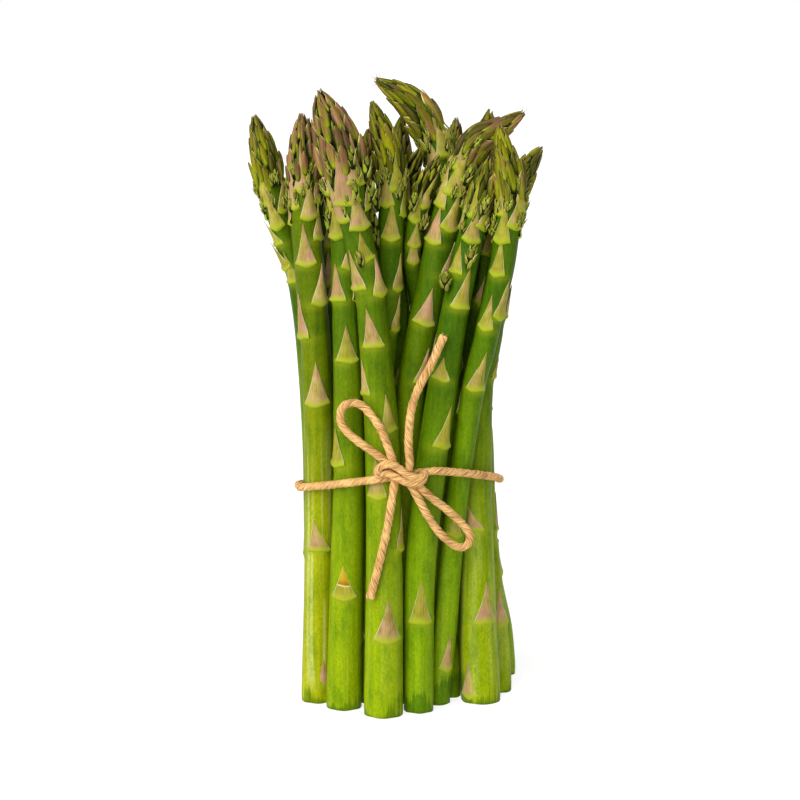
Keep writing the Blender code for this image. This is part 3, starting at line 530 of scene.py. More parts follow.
def smooth_route(points, count):
    """Points evenly spaced by length on a Catmull-Rom curve through the given points.

    Between b and c the curve is half of 2b + (c-a)t + (2a-5b+4c-d)t^2 + (3b-a-3c+d)t^3.
    """
    knots = np.array(points, float)
    padded = np.vstack([2 * knots[0] - knots[1], knots, 2 * knots[-1] - knots[-2]])
    steps = np.linspace(0, 1, CURVE_STEPS, endpoint=False)[:, None]
    pieces = []
    for a, b, c, d in zip(padded, padded[1:], padded[2:], padded[3:]):
        pieces.append(0.5 * (2 * b + (c - a) * steps + (2 * a - 5 * b + 4 * c - d) * steps ** 2
                             + (3 * b - a - 3 * c + d) * steps ** 3))
    return resampled(np.vstack(pieces + [knots[-1:]]), count)


def directions(points):
    """Unit tangents of a polyline."""
    ahead = np.gradient(points, axis=0)
    return ahead / np.linalg.norm(ahead, axis=1)[:, None]


def stem_radius(spear, heights, shares):
    """Radius of the stem and of the head's core, by height and by share of the head passed."""
    foot, tie, neck, head = spear["girth"]
    neck_height = spear["route"][-1][2] - spear["head"]
    stem = np.interp(heights, [0, TIE_HEIGHT, neck_height], [foot, tie, neck]) / 2
    swell = np.interp(shares, [0, 0.3, 1], [0, 1, 1])
    taper = np.interp(shares, [0, 0.5, 0.72, 0.9, 1], [1.0, 1.0, 0.82, 0.48, 0.14])
    return (stem * (1 - swell) + CORE_SHARE * head * swell) * taper


def outer_radius(spear, radius, shares):
    """Radius that the spear takes up with its scales."""
    head = spear["girth"][3] / 2
    over = np.interp(shares, [0, 0.12, 0.35, 0.6, 0.85, 1], [0, 0.85, 1.0, 0.95, 0.6, 0.3])
    return np.maximum(radius, over * head)


def packed(axes, outer, moves):
    """Push overlapping axes apart sideways, the freer ones further, keeping each one smooth."""
    count = len(axes)
    for _ in range(PACKING["rounds"]):
        tangents = np.array([directions(axis) for axis in axes])
        shift = np.zeros_like(axes)
        for i in range(count):
            for j in range(count):
                if i == j:
                    continue
                apart = axes[i][:, None, :] - axes[j][None, :, :]
                nearest = np.argmin((apart ** 2).sum(axis=2), axis=1)
                gap = apart[np.arange(len(nearest)), nearest]
                along = (gap * tangents[j][nearest]).sum(axis=1)
                side = gap - along[:, None] * tangents[j][nearest]
                side[:, 2] = 0
                distance = np.linalg.norm(side, axis=1) + 1e-6
                need = outer[i] + outer[j][nearest] + STEM_GAP - distance
                near = np.abs(along) < PACKING["reach"]
                push = np.where((need > 0) & near, need, 0) * moves[i] / (moves[i] + moves[j])
                shift[i] += side / distance[:, None] * push[:, None]
        for i in range(count):
            blurred = shift[i].copy()
            for _ in range(PACKING["spreads"]):
                blurred[1:-1] = (blurred[:-2] + 2 * blurred[1:-1] + blurred[2:]) / 4
                blurred[0] = (blurred[0] + blurred[1]) / 2
                blurred[-1] = (blurred[-1] + blurred[-2]) / 2
            axes[i] = axes[i] + PACKING["step"] * blurred
            axes[i][0, :2] = axes[i][1, :2]
    return axes


def with_frame(axis, radius, envelope, **facts):
    """An axis with all that its surface needs at every step: its length so far and its frame.

    The frame's front is -Y made square to the axis, and its right is ahead x front.
    """
    ahead = directions(axis)
    front = np.array([0.0, -1.0, 0.0]) + ahead * ahead[:, 1:2]
    front /= np.linalg.norm(front, axis=1)[:, None]
    along = lengths_to(axis)
    return {"axis": axis, "radius": radius, "envelope": envelope, "ahead": ahead, "front": front,
            "right": np.cross(ahead, front), "along": along, "length": along[-1], **facts}


def lay_out():
    """Every spear's axis, stem radius and outer radius, packed without overlap and then refined."""
    names = list(SPEARS)
    axes = np.array([smooth_route(SPEARS[name]["route"], STATIONS) for name in names])
    radii, outer = [], []
    for name, axis in zip(names, axes):
        spear = SPEARS[name]
        along = lengths_to(axis)
        share = np.clip((along - along[-1] + spear["head"]) / spear["head"], 0, 1)
        radius = stem_radius(spear, axis[:, 2], share)
        radii.append(radius)
        outer.append(outer_radius(spear, radius, share))
    axes = packed(axes, np.array(outer), np.array([SPEARS[name]["moves"] for name in names]))
    laid_out = {}
    for k, name in enumerate(names):
        coarse = np.column_stack([axes[k], radii[k], outer[k]])
        length = steps_of(axes[k]).sum()
        fine = smooth_route(coarse, round(length / FINE_STEP))
        fine[:, 2] = np.maximum(fine[:, 2], 0)
        left = (length - np.linspace(0, length, len(fine))) / SPEARS[name]["head"]
        closing = np.interp(left, [0, 0.06, 0.12, 0.25, 0.5], [0.34, 0.66, 0.82, 0.94, 1.0])
        envelope = closing * fine[:, 4]
        core = np.where(left < 0.66, np.maximum(0.8 * envelope - 0.9, 0.15), fine[:, 3])
        laid_out[name] = with_frame(fine[:, :3], np.minimum(fine[:, 3], core), envelope,
                                    head=SPEARS[name]["head"])
    return laid_out


def on_spear(spear, at, bearing, reach):
    """Points at lengths along an axis, bearings round it and distances from it.

    point = axis + reach (cos(bearing) front + sin(bearing) right), straight on past the tip.
    """
    within = np.clip(at, 0, spear["length"])
    parts = {key: np.stack([np.interp(within, spear["along"], spear[key][:, k]) for k in range(3)], axis=-1)
             for key in ("axis", "ahead", "front", "right")}
    centre = parts["axis"] + parts["ahead"] * (at - within)[..., None]
    outward = np.cos(bearing)[..., None] * parts["front"] + np.sin(bearing)[..., None] * parts["right"]
    return centre + reach[..., None] * outward


def waves(values, draw, count, spread):
    """A smooth random curve: a sum of sines of random pitch and phase, about -1 to 1."""
    total = np.zeros_like(values)
    for _ in range(count):
        total += np.sin(values * draw.uniform(0.35, 1.0) * spread + draw.uniform(0, 2 * math.pi))
    return total / count


def bell(offset, spread):
    """A smooth hump, 1 where the offset is 0: exp(-(offset / spread)^2)."""
    return np.exp(-(offset / spread) ** 2)


def near_node(at, base, lobe, change):
    """A change of (amount, drop below the bract's base, length), on the bract's side of the stem."""
    amount, drop, length = change
    return amount * lobe * bell(at - base + drop, length)


def add_stem(surface, spear, nodes, settings, draw, around, tint):
    """The stem: rings square to the axis, with ribs, swollen nodes and a roughly cut foot.

    radius = stem (1 + ribs) + a swelling under each bract, on its own side of the stem. The foot
    draws in a little, and its cut is raised by up to half a millimetre in front.
    """
    rows = round(spear["length"] / (settings.row_length / MM))
    body = np.linspace(0.35, spear["length"] - 0.4, rows)
    at = np.concatenate([[0.0, 0.0, 0.0, 0.08], body, [spear["length"] - 0.1]])
    inset = np.concatenate([[0.15, 0.6, 0.985, 1.0], np.ones(rows), [0.55]])
    at, bearing = np.meshgrid(at, np.linspace(0, 2 * math.pi, around, endpoint=False), indexing="ij")
    radius = np.interp(at, spear["along"], spear["radius"])
    count, depth = FINE_RIBS
    ribs = depth * np.cos(count * bearing + 1.5 * waves(at, draw, 3, 0.05))
    ribs *= 1 + waves(at, draw, 3, 0.06)
    count, depth = BROAD_RIBS
    broad = depth * np.cos(count * bearing + waves(at, draw, 3, 0.08) * 2)
    ribs += broad + STEM_WAVE * waves(at, draw, 4, 0.16)
    ribs -= FOOT_TAPER * bell(at, 3.2)
    radius = radius * (1 + ribs)
    glow = np.zeros_like(at)
    for base, facing, _, width, *_ in nodes:
        aside = np.angle(np.exp(1j * (bearing - facing)))
        lobe = bell(aside, 0.75 * width / np.interp(base, spear["along"], spear["radius"]))
        radius += near_node(at, base, lobe, NODE_SWELL)
        radius += near_node(at, base, lobe, NODE_DIP)
        glow = np.maximum(glow, near_node(at, base, lobe, NODE_GLOW))
    rings = on_spear(spear, at, bearing, radius * inset[:, None])
    chips = np.cos(bearing + draw.uniform(-0.5, 0.5)) + 0.2 * np.sin(5 * bearing + draw.uniform(0, 6))
    chips = CHIP_RISE * np.clip(chips, 0, 1.2) * inset[:, None] * bell(at, 1.5)
    rings[..., 2] = np.maximum(rings[..., 2], 0) + chips
    # Painted shade: from a quarter of the way into the head, the stem turns dark between the scales
    head_shade = np.clip((at - spear["length"] + 0.75 * spear["head"]) / 5, 0, 1)
    look = np.stack([at / spear["length"], glow, np.full_like(at, tint), head_shade], axis=-1)
    turn = np.linspace(0, 1, around + 1)
    chart = np.stack(np.meshgrid(at[:, 0], turn * 30, indexing="ij")[::-1], axis=-1)
    surface.add_tube(rings, look, chart, STEM)
    cut = np.broadcast_to(np.arange(rows + 4) < 2, (around, rows + 4)).T
    surface.quad_finishes[-1] = np.where(cut.ravel(), CUT, STEM)
    surface.cap_finishes[-2] = np.full(around, CUT)


def leaf_grid(rows, around, below, evenness):
    """Parameters of a leaf's rings: u across (-1 to 1), v along (below 0 at the root) and the side.

    A ring goes round the leaf's section: u = -cos t, and sin t is above 0 on the outer side.
    """
    t = np.linspace(0, 2 * math.pi, around, endpoint=False)
    v = below + (1 - below) * np.linspace(0, 1, rows) ** evenness
    v, t = np.meshgrid(v, t, indexing="ij")
    return -np.cos(t), v, np.sin(t)


def add_leaf(surface, spear, leaf, form, draw, finish, grid):
    """A bract or head scale: a lens-shaped section carried up the spear.

    Across, it wraps the spear: bearing = facing + lean v + u half(v) / reach. Outwards, reach =
    stem + height(v) + (edge(v) - height(v)) |u|^fullness + open v^2, with a low keel and rippled
    edges, and the inner side lies under the outer one by the thickness. Where it lies sunk among
    its neighbours its shade value falls, and the materials paint it dark there as painted shade.
    """
    u, v, side = leaf_grid(*grid, form["below"], form["evenness"])
    base, facing, length, width, lean, blush = leaf
    half = np.interp(v, form["outline_at"], form["outline"]) * width / 2
    dip = form["dip"] * (1 - np.abs(u) ** 1.6) * np.clip(1 - v, 0, 1) ** 3
    wavy = form["wavy"] * np.sin(3.1 * u + draw.uniform(0, TURN)) * np.clip(1 - 2 * v, 0, 1)
    at = base + np.where(v < 0, v * form["root"], v * length) - dip + wavy
    stem = np.interp(at, spear["along"], spear[form["over"]])
    height = np.interp(v, form["lift_at"], form["lift"]) * form["size"]
    edge = np.interp(v, form["lift_at"], form["edge"]) * form["size"]
    lift = height + (edge - height) * np.abs(u) ** form["fullness"]
    lift += form["open"] * np.clip(v, 0, 1) ** 2
    lift += form["flutter"] * np.abs(u) ** 3 * waves(v * 10, draw, 3, 1.0) * np.sign(u)
    lift += form["keel"] * bell(u, 0.16) * np.clip(v, 0, 1)
    girth = stem + lift
    thick = form["thickness"] * np.clip(1.06 - v, 0.1, 1) * np.abs(side)
    bearing = facing + math.radians(lean) * np.clip(v, 0, 1) + np.clip(u * half / girth, -1.75, 1.75)
    reach = np.where(side < 0, girth - thick, girth)
    rings = on_spear(spear, at, bearing, np.maximum(reach, 0.05))
    rings[..., 2] = np.maximum(rings[..., 2], 0.02)
    shade = draw.uniform(0, 1)
    # Painted shade: 1 where the leaf stands out, falling to 0 where it lies sunk among its neighbours; it
    # scales the shade value
    sunk = np.clip(1.4 + lift / (form["size"] * form["shade_depth"]), 0, 1)
    look = np.stack([np.clip(v * 0.9 + 0.1, 0, 1), np.abs(u), (0.4 + 0.6 * shade) * sunk,
                     np.full_like(u, blush)], axis=-1)
    chart = np.stack([u * half, v * length + 40 * shade], axis=-1)
    chart = np.concatenate([chart, chart[:, :1]], axis=1)
    surface.add_tube(rings, look, chart, finish)


def bract_form(settings, width, lift):
    """How a bract of the stem is shaped: a raised rim, hollow sides and a pressed tip."""
    rim = settings.rim_height / MM
    return {"below": -0.11, "evenness": 1.5, "over": "radius", "root": 11.0, "dip": 0.55, "wavy": 0.3,
            "outline_at": [-0.11, -0.04, 0.0, 0.04, 0.10, 0.25, 0.45, 0.7, 0.88, 1.0],
            "outline": [0.86, 0.98, 1.10, 0.99, 0.86, 0.66, 0.44, 0.23, 0.10, 0.015],
            "lift_at": [-0.11, -0.06, -0.03, 0.01, 0.06, 0.12, 0.25, 0.45, 0.75, 1.0],
            "lift": [-0.45, 0.2, rim * 0.95, rim * 1.15, rim * 0.95, rim * 0.75, rim * 0.72, rim * 0.72,
                     rim * 0.55, rim * 0.4],
            "edge": [-0.6, 0.0, rim * 0.8, rim * 1.15, rim * 0.7, 0.25, 0.14, 0.12, 0.12, 0.15],
            "size": width / USUAL_WIDTH * lift, "fullness": 2.2, "open": 0.0, "flutter": 0.16, "keel": 0.0,
            "thickness": settings.bract_thickness / MM, "shade_depth": 9.0}


def scale_form(settings, girth):
    """How a head scale is shaped: a plump boat, widest a third of the way up, its tip standing out."""
    return {"below": -0.05, "evenness": 1.0, "over": "envelope", "root": 8.0, "dip": 0.5, "wavy": 0.1,
            "outline_at": [-0.05, 0.0, 0.1, 0.28, 0.5, 0.72, 0.9, 1.0],
            "outline": [0.50, 0.66, 0.90, 1.0, 0.92, 0.66, 0.30, 0.03],
            "lift_at": [-0.05, 0.0, 0.12, 0.45, 0.8, 1.0],
            "lift": [-1.9, -1.2, -0.45, 0.15, 0.2, 0.0],
            "edge": [-2.2, -2.1, -2.0, -1.7, -1.1, -0.3],
            "size": np.clip(girth / USUAL_REACH, 0.3, 1.3), "fullness": 1.7, "open": 0.0, "flutter": 0.16,
            "keel": 0.1, "thickness": 0.7 * settings.bract_thickness / MM, "shade_depth": 0.98}


def sliver_form(settings, girth):
    """How a narrow young scale is shaped that stands between the large ones, a little deeper."""
    return {**scale_form(settings, girth), "outline": [0.7, 0.8, 0.95, 1.0, 0.9, 0.6, 0.25, 0.02],
            "lift": [-1.8, -1.4, -1.1, -0.7, -0.45, -0.5], "edge": [-1.9, -1.7, -1.5, -1.2, -0.8, -0.6],
            "keel": 0.2, "thickness": 0.4}


def bud_form(girth):
    """How a scale of a side bud is shaped: a small boat, close to its neighbours."""
    return {"below": -0.05, "evenness": 1.0, "over": "envelope", "root": 3.0, "dip": 0.1, "wavy": 0.0,
            "outline_at": [-0.05, 0.1, 0.4, 0.8, 1.0], "outline": [0.6, 0.85, 1.0, 0.55, 0.03],
            "lift_at": [-0.05, 0.1, 0.5, 1.0], "lift": [-0.5, -0.12, 0.06, 0.14],
            "edge": [-0.6, -0.5, -0.42, 0.0], "size": girth / 3, "fullness": 2.0, "open": 0.12,
            "flutter": 0.08, "keel": 0.03, "thickness": 0.3, "shade_depth": 0.45}


def add_loose_scale(surface, spear, base, turn, blush, settings, draw, seen):
    """A wide scale at the head's foot: a bract that follows the head's swelling.

    On a head that is seen it has a bud on each side.
    """
    core, outer = (np.interp(base, spear["along"], spear[key]) for key in ("radius", "envelope"))
    length = draw.uniform(12.0, 15.0) * (spear["head"] / USUAL_HEAD) ** 0.7
    width = 1.5 * core * draw.uniform(0.88, 1.12) + 0.6
    form = bract_form(settings, width, 1.35)
    swell = np.interp(base + 0.8 * length, spear["along"], spear["envelope"] - spear["radius"])
    form["open"] = 0.75 * max(swell, 0.0) + draw.uniform(-0.1, 0.9)
    form["keel"] = 0.2
    fresh = np.clip(blush + draw.uniform(-0.25, 0.25), 0, 1)
    facing = turn + draw.uniform(-0.2, 0.2)
    leaf = (base, facing, length, width, draw.uniform(-6, 6), fresh)
    add_leaf(surface, spear, leaf, form, draw, BRACT, LOOSE_GRID[seen])
    if not seen:
        return
    lean = 0.1 + 0.12 * max(outer - core, 0.0)
    for side in (-1, 1):
        at = base + draw.uniform(0.1, 0.4) * length
        bearing = facing + side * draw.uniform(0.75, 1.1)
        add_bud(surface, spear, at, bearing, draw.uniform(4.0, 6.0), draw.uniform(1.7, 2.4), lean, draw)


def add_close_scale(surface, spear, share, turn, looks, settings, draw, seen):
    """A plump scale of the head, and on a head that is seen a narrow young one beside it.

    It gives False where the head ends too soon for another scale.
    """
    blush, ragged, coarse = looks
    base = spear["length"] - spear["head"] + share * spear["head"]
    girth = np.interp(base + 0.1 * spear["head"], spear["along"], spear["envelope"])
    length = (10.8 - 5.4 * share) * (spear["head"] / USUAL_HEAD) ** 0.8 * draw.uniform(0.82, 1.2)
    length = min(length, spear["length"] + draw.uniform(-2.0, 0.7) * (1.5 - share) - base)
    if length < 1.5:
        return False
    width = (0.50 * girth + 0.9) * coarse * draw.uniform(0.85, 1.15)
    form = scale_form(settings, girth)
    form["open"] = draw.uniform(-0.1, 1.0 - 0.5 * share) * form["size"] * ragged
    facing = turn + draw.uniform(-0.2, 0.2)
    fresh = np.clip(blush + draw.uniform(-0.3, 0.3), 0, 1)
    leaf = (base, facing, length, width, draw.uniform(-7, 7), fresh)
    add_leaf(surface, spear, leaf, form, draw, SCALE, SCALE_GRID[seen])
    if seen and share < 0.8:
        aside = facing + draw.choice([-1, 1]) * 0.5 * width / max(girth, 2.0) * draw.uniform(0.9, 1.4)
        tall = length * draw.uniform(0.5, 0.8)
        leaf = (base + draw.uniform(0.1, 0.45) * length, aside, tall, draw.uniform(1.0, 1.7),
                draw.uniform(-10, 10), draw.uniform(0, 0.8))
        add_leaf(surface, spear, leaf, sliver_form(settings, girth), draw, BUD, SLIVER_GRID)
    return True


def add_head(surface, name, spear, settings, draw, seen):
    """The head: a few wide scales spaced up its foot, then plump ones in a close spiral.

    Both climb by the golden angle, and each is a little smaller than the one below.
    """
    start = spear["length"] - spear["head"]
    looks = (HEAD_BLUSH.get(name, USUAL_BLUSH), HEAD_RAGGED.get(name, 1.0), HEAD_COARSE.get(name, 1.0))
    spacing = settings.scale_spacing / MM
    turn = draw.uniform(0, 2 * math.pi)
    count = round(LOOSE_SCALES["counted"] * spear["head"] / (LOOSE_SCALES["apart"] * spacing))
    for k in range(count):
        base = start + (LOOSE_SCALES["climb"] * k / count + LOOSE_SCALES["start"]) * spear["head"]
        add_loose_scale(surface, spear, base, turn, looks[0], settings, draw, seen)
        turn += GOLDEN_ANGLE
    count = round(CLOSE_SCALES["counted"] * spear["head"] / spacing)
    for k in range(count):
        share = CLOSE_SCALES["start"] + CLOSE_SCALES["climb"] * (k / count) ** 0.95
        if add_close_scale(surface, spear, share, turn, looks, settings, draw, seen):
            turn += GOLDEN_ANGLE


def add_bud(surface, spear, at, bearing, length, girth, lean, draw):
    """A side bud: a small shoot of its own that leaves the stem and bends back to run beside it.

    axis = start + ahead L t + outward L lean (t - 0.45 t^2), and its girth swells and then tapers.
    """
    t = np.linspace(0, 1, 16)
    reach = np.interp(at, spear["along"], spear["radius"]) + 0.25 * girth
    start = on_spear(spear, np.array(at), np.array(bearing), np.array(reach))
    centre = on_spear(spear, np.array(at), np.array(bearing), np.array(0.0))
    outward = (start - centre) / np.linalg.norm(start - centre)
    ahead = np.array([np.interp(at, spear["along"], spear["ahead"][:, k]) for k in range(3)])
    axis = start + length * (t[:, None] * ahead + lean * (t - 0.45 * t ** 2)[:, None] * outward)
    axis[:, 2] = np.maximum(axis[:, 2], 1.0)
    envelope = girth / 2 * np.interp(t, [0, 0.2, 0.45, 0.75, 1], [0.75, 0.95, 1.0, 0.7, 0.16])
    bud = with_frame(axis, 0.6 * envelope, envelope)
    add_core(surface, bud, BUD)
    turn = draw.uniform(0, 2 * math.pi)
    form = bud_form(girth)
    for k in range(BUD_SCALES):
        share = k / BUD_SCALES * 0.86
        tall = length * (0.5 - 0.22 * share)
        wide = np.interp(share * length, bud["along"], envelope) + 0.3
        form["open"] = draw.uniform(0.0, 0.9) * girth / 3
        leaf = (share * length, turn, min(tall, length * 1.04 - share * length), wide,
                draw.uniform(-20, 20), draw.uniform(0, 0.9))
        add_leaf(surface, bud, leaf, form, draw, BUD, BUD_GRID)
        turn += GOLDEN_ANGLE


def add_core(surface, spear, finish):
    """A plain tube along a small axis, filling the room between its scales."""
    rows, around = CORE_GRID
    at, bearing = np.meshgrid(np.linspace(0, spear["length"], rows),
                              np.linspace(0, 2 * math.pi, around, endpoint=False), indexing="ij")
    radius = np.interp(at, spear["along"], spear["radius"])
    # The shade value stays 0, so the bud material paints the core dark, as painted shade between the scales
    look = np.zeros((rows, around, 4))
    look[..., 0] = 0.3
    chart = np.zeros((rows, around + 1, 2))
    surface.add_tube(on_spear(spear, at, bearing, radius), look, chart, finish)


def add_hair(surface, start, ahead, bend, length, radius, finish, shade):
    """A hair: a thin tapering tube. axis = start + L (t ahead + t^2 bend)."""
    rows, around = HAIR_GRID
    t = np.linspace(0, 1, rows)[:, None]
    axis = start + length * (t * ahead + t ** 2 * bend)
    side = np.cross(ahead, [0.31, 0.27, 0.91])
    side /= np.linalg.norm(side)
    other = np.cross(ahead, side)
    turn = np.linspace(0, 2 * math.pi, around, endpoint=False)
    ring = np.cos(turn)[:, None] * side + np.sin(turn)[:, None] * other
    rings = axis[:, None, :] + (radius * (1.05 - t))[..., None] * ring
    surface.add_tube(rings, np.full((rows, around, 4), shade), np.zeros((rows, around + 1, 2)), finish)


def bract_places(name, spear):
    """The bracts seen on the stem, and those behind, climbing by the golden angle.

    Each is (length along the stem, bearing, length, width, lean, blush), and those with a tip that
    stands off by a set amount have it as a seventh value.
    """
    sight = math.radians(HIDDEN_BRACTS["sight"])
    places = []
    for height, bearing, length, width, lean, blush, *away in SPEARS[name]["bracts"]:
        base = float(np.interp(height, spear["axis"][:, 2], spear["along"]))
        places.append((base, math.radians(bearing), length, width, lean, blush, *away))
    neck = spear["length"] - spear["head"]
    order = list(SPEARS).index(name)
    base = HIDDEN_BRACTS["first"] + 3.0 * (order % 5)
    turn = order * GOLDEN_ANGLE
    while base < neck - HIDDEN_BRACTS["bare"]:
        facing = math.atan2(math.sin(turn), math.cos(turn))
        if abs(facing) > sight or SPEARS[name]["moves"] >= SEEN:
            width = HIDDEN_BRACTS["width"] * 2 * np.interp(base, spear["along"], spear["radius"])
            places.append((base, facing, HIDDEN_BRACTS["length"], width, 0, HIDDEN_BRACTS["blush"]))
        base += HIDDEN_BRACTS["step"] * (1.0 if base < neck / 2 else HIDDEN_BRACTS["closer"])
        turn += GOLDEN_ANGLE
    return places


def grow_spear(name, spear, settings, materials):
    """One spear: its stem, its bracts, its head with buds at its foot, and its side shoots."""
    order = list(SPEARS).index(name)
    draw = np.random.RandomState(SEED + order)
    seen = SPEARS[name]["moves"] < SEEN
    surface = Surface()
    places = bract_places(name, spear)
    around = settings.faces_around if seen else settings.faces_around // 2
    add_stem(surface, spear, places, settings, draw, around, SKIN_TINT.get(name, USUAL_TINT))
    neck = spear["length"] - spear["head"]
    for base, facing, length, width, lean, blush, *away in places:
        upper = np.interp(base / neck, [0.55, 1.0], [0, 1])
        lower = np.interp(base / neck, [0.1, 0.45], [1, 0])
        form = bract_form(settings, width, 1.0 + 0.35 * upper - 0.35 * lower)
        form["open"] = away[0] if away else upper * draw.uniform(0.0, 0.6)
        leaf = (base, facing, length, width, lean, blush)
        add_leaf(surface, spear, leaf, form, draw, BRACT, BRACT_GRID[seen])
    add_head(surface, name, spear, settings, draw, seen)
    for height, bearing, length, girth, lean in SIDE_SHOOTS.get(name, ()):
        base = float(np.interp(height, spear["axis"][:, 2], spear["along"]))
        add_bud(surface, spear, base, math.radians(bearing), length, girth, lean, draw)
    for bend in TIP_HAIRS.get(name, ()):
        ahead = spear["ahead"][-1]
        aside = np.array(bend, float)
        start = spear["axis"][-1] - TIP_HAIR["sunk"] * ahead + 0.8 * aside
        add_hair(surface, start, ahead * 0.8 + aside, 0.4 * aside, TIP_HAIR["length"], TIP_HAIR["radius"],
                 SCALE, 0.72)
    return surface.to_object("fine_" + name, materials)


def surface_gap(points, axis, radius):
    """Distance from each point to the bare surface of a tube along an axis."""
    start, span = axis[:-1], np.diff(axis, axis=0)
    away = np.atleast_2d(points)[:, None, :] - start[None, :, :]
    part = np.clip((away * span).sum(axis=2) / (span ** 2).sum(axis=1), 0, 1)
    reach = radius[:-1] + part * np.diff(radius)
    return (np.linalg.norm(away - part[:, :, None] * span, axis=2) - reach).min(axis=1)


def laid_over(route, laid_out, thickness):
    """A run of twine brought forward to lie on the stems wherever it would press into one."""
    route = route.copy()
    every = slice(None, None, STEM_STRIDE)
    near = [(spear["axis"][every], spear["radius"][every]) for spear in laid_out.values()]
    for _ in range(LAY_ROUNDS):
        gaps = [surface_gap(route, *stem) for stem in near]
        lift = np.maximum(0, thickness / 2 + BOW_CLEARANCE - np.min(gaps, axis=0))
        lift[1:-1] = np.maximum(lift[1:-1], 0.5 * (lift[:-2] + lift[2:]))
        route[:, 1] -= lift
    return route


def ring_height(x, y):
    """Height of the twine's ring at a place round the bundle."""
    marks = np.array(RING_HEIGHTS, float)
    return np.interp(np.degrees(np.arctan2(x, -y)), marks[:, 0], marks[:, 1])


def ring_route(laid_out, thickness):
    """The twine's ring: the tight outline round all the stems, each taken at the ring's height."""
    discs = []
    for spear in laid_out.values():
        height = TIE_HEIGHT
        for _ in range(3):
            centre = [np.interp(height, spear["axis"][:, 2], spear["axis"][:, k]) for k in range(2)]
            height = ring_height(*centre)
        reach = np.interp(height, spear["axis"][:, 2], spear["radius"])
        discs.append((*centre, reach + thickness / 2 + RING_CLEARANCE))
    discs = np.array(discs)
    bearings = np.radians(np.arange(-180, 180, 1.0))
    outward = np.column_stack([np.sin(bearings), -np.cos(bearings)])
    touch = np.argmax(outward @ discs[:, :2].T + discs[:, 2], axis=1)
    flat = discs[touch, :2] + discs[touch, 2:] * outward
    ring = np.column_stack([flat, ring_height(flat[:, 0], flat[:, 1])])
    ring = resampled(np.vstack([ring, ring[:1]]), RING_POINTS)[:-1]
    for _ in range(3):
        ring[:, 2] = (np.roll(ring[:, 2], 1) + 2 * ring[:, 2] + np.roll(ring[:, 2], -1)) / 4
    from_knot = np.where(ring[:, 1] < 0, np.abs(ring[:, 0] - RING_START), np.inf)
    at_knot = int(np.argmin(from_knot))
    return np.vstack([ring[at_knot:], ring[:at_knot + 1]])


def carried_frame(axis):
    """Two directions square to a path at each point, carried along it without turning about it."""
    ahead = directions(axis)
    side = np.cross(ahead[0], [0.0, -1.0, 0.0])
    if np.linalg.norm(side) < 0.1:
        side = np.cross(ahead[0], [0.0, 0.0, 1.0])
    sides = []
    for direction in ahead:
        side = side - direction * side.dot(direction)
        side = side / np.linalg.norm(side)
        sides.append(side)
    sides = np.array(sides)
    return sides, np.cross(ahead, sides)


def add_twine(surface, route, settings, draw, loose_end=False):
    """Plies twisted together, carried along a route.

    radius = thickness / 2 - groove (1 - |cos(n (turn + 2 pi s / lay) / 2)|^0.7) + a little noise,
    and the groove's depth comes and goes along the twine.
    """
    thickness, lay = settings.thickness / MM, settings.lay / MM
    length = steps_of(route).sum()
    axis = smooth_route(route, round(length / TWINE_STEP))
    one, other = carried_frame(axis)
    along = np.linspace(0, length, len(axis))
    s, turn = np.meshgrid(along, np.linspace(0, 2 * math.pi, TWINE_FACES + 1), indexing="ij")
    twist = 2 * math.pi * (s + 0.5 * waves(s, draw, 3, 0.5)) / lay
    phase = settings.plies * (turn + twist + draw.uniform(0, TURN))
    crown = np.abs(np.cos(phase / 2)) ** 0.7
    groove = settings.groove / MM * (0.75 + 0.6 * waves(s, draw, 4, 1.3))
    slack = 0.96 + 0.07 * waves(s, draw, 4, 1.1)
    if loose_end:
        slack += 0.12 * np.clip((s - length + 5) / 5, 0, 1) ** 2
    strands = 0.035 * np.sin(4 * phase + 2 * s) + 0.03 * np.sin(7 * phase + 5 * waves(s, draw, 3, 1.0))
    radius = thickness / 2 * slack - groove * (1 - crown) + strands
    rings = axis[:, None, :] + radius[:, :-1, None] * (
        np.cos(turn[:, :-1, None]) * one[:, None, :] + np.sin(turn[:, :-1, None]) * other[:, None, :])
    # Painted shade value: 1 on the plies' crowns and falling in the grooves, which twine_fibre paints dark
    depth = 1 - (1 - crown) * np.clip(0.35 + 1.3 * waves(s + 0.4 * phase, draw, 4, 1.6), 0, 1)
    blank = np.zeros_like(s)
    look = np.stack([depth, 0.5 + 0.5 * waves(s, draw, 4, 0.7), blank, blank], axis=-1)[:, :-1]
    chart = np.stack([(turn + twist) * thickness / 2, s], axis=-1)
    surface.add_tube(rings, look, chart, TWINE)
    add_fuzz(surface, axis, one, other, thickness, settings, draw, loose_end)
    return axis


def add_fuzz(surface, axis, one, other, thickness, settings, draw, loose_end):
    """Stray fibres that lift off the twine, and more of them where an end is cut."""
    length = settings.fuzz_length / MM
    ahead = directions(axis)
    end = len(axis) - 2
    count = round(len(axis) * FIBRE_STEP / (settings.fuzz_spacing / MM))
    places = list(draw.randint(4, len(axis) - 4, count)) + [end] * (END_FIBRES if loose_end else 0)
    for k in places:
        turn = draw.uniform(0, 2 * math.pi)
        outward = math.cos(turn) * one[k] + math.sin(turn) * other[k]
        cut = k == end
        reach = thickness / 2 * (draw.uniform(0.2, 0.9) if cut else 0.94)
        across = np.cross(ahead[k], outward)
        way = ahead[k] * (0.9 if cut else draw.uniform(0.2, 0.9)) + outward * (0.25 if cut else 0.5)
        way = way + across * draw.uniform(-0.5, 0.9)
        way /= np.linalg.norm(way)
        bend = across * draw.uniform(-0.5, 0.5) - outward * draw.uniform(0.0, 0.4)
        add_hair(surface, axis[k] + reach * outward, way, bend, length * draw.uniform(0.5, 1.3),
                 FIBRE_RADIUS, TWINE, draw.uniform(0.6, 1.0))


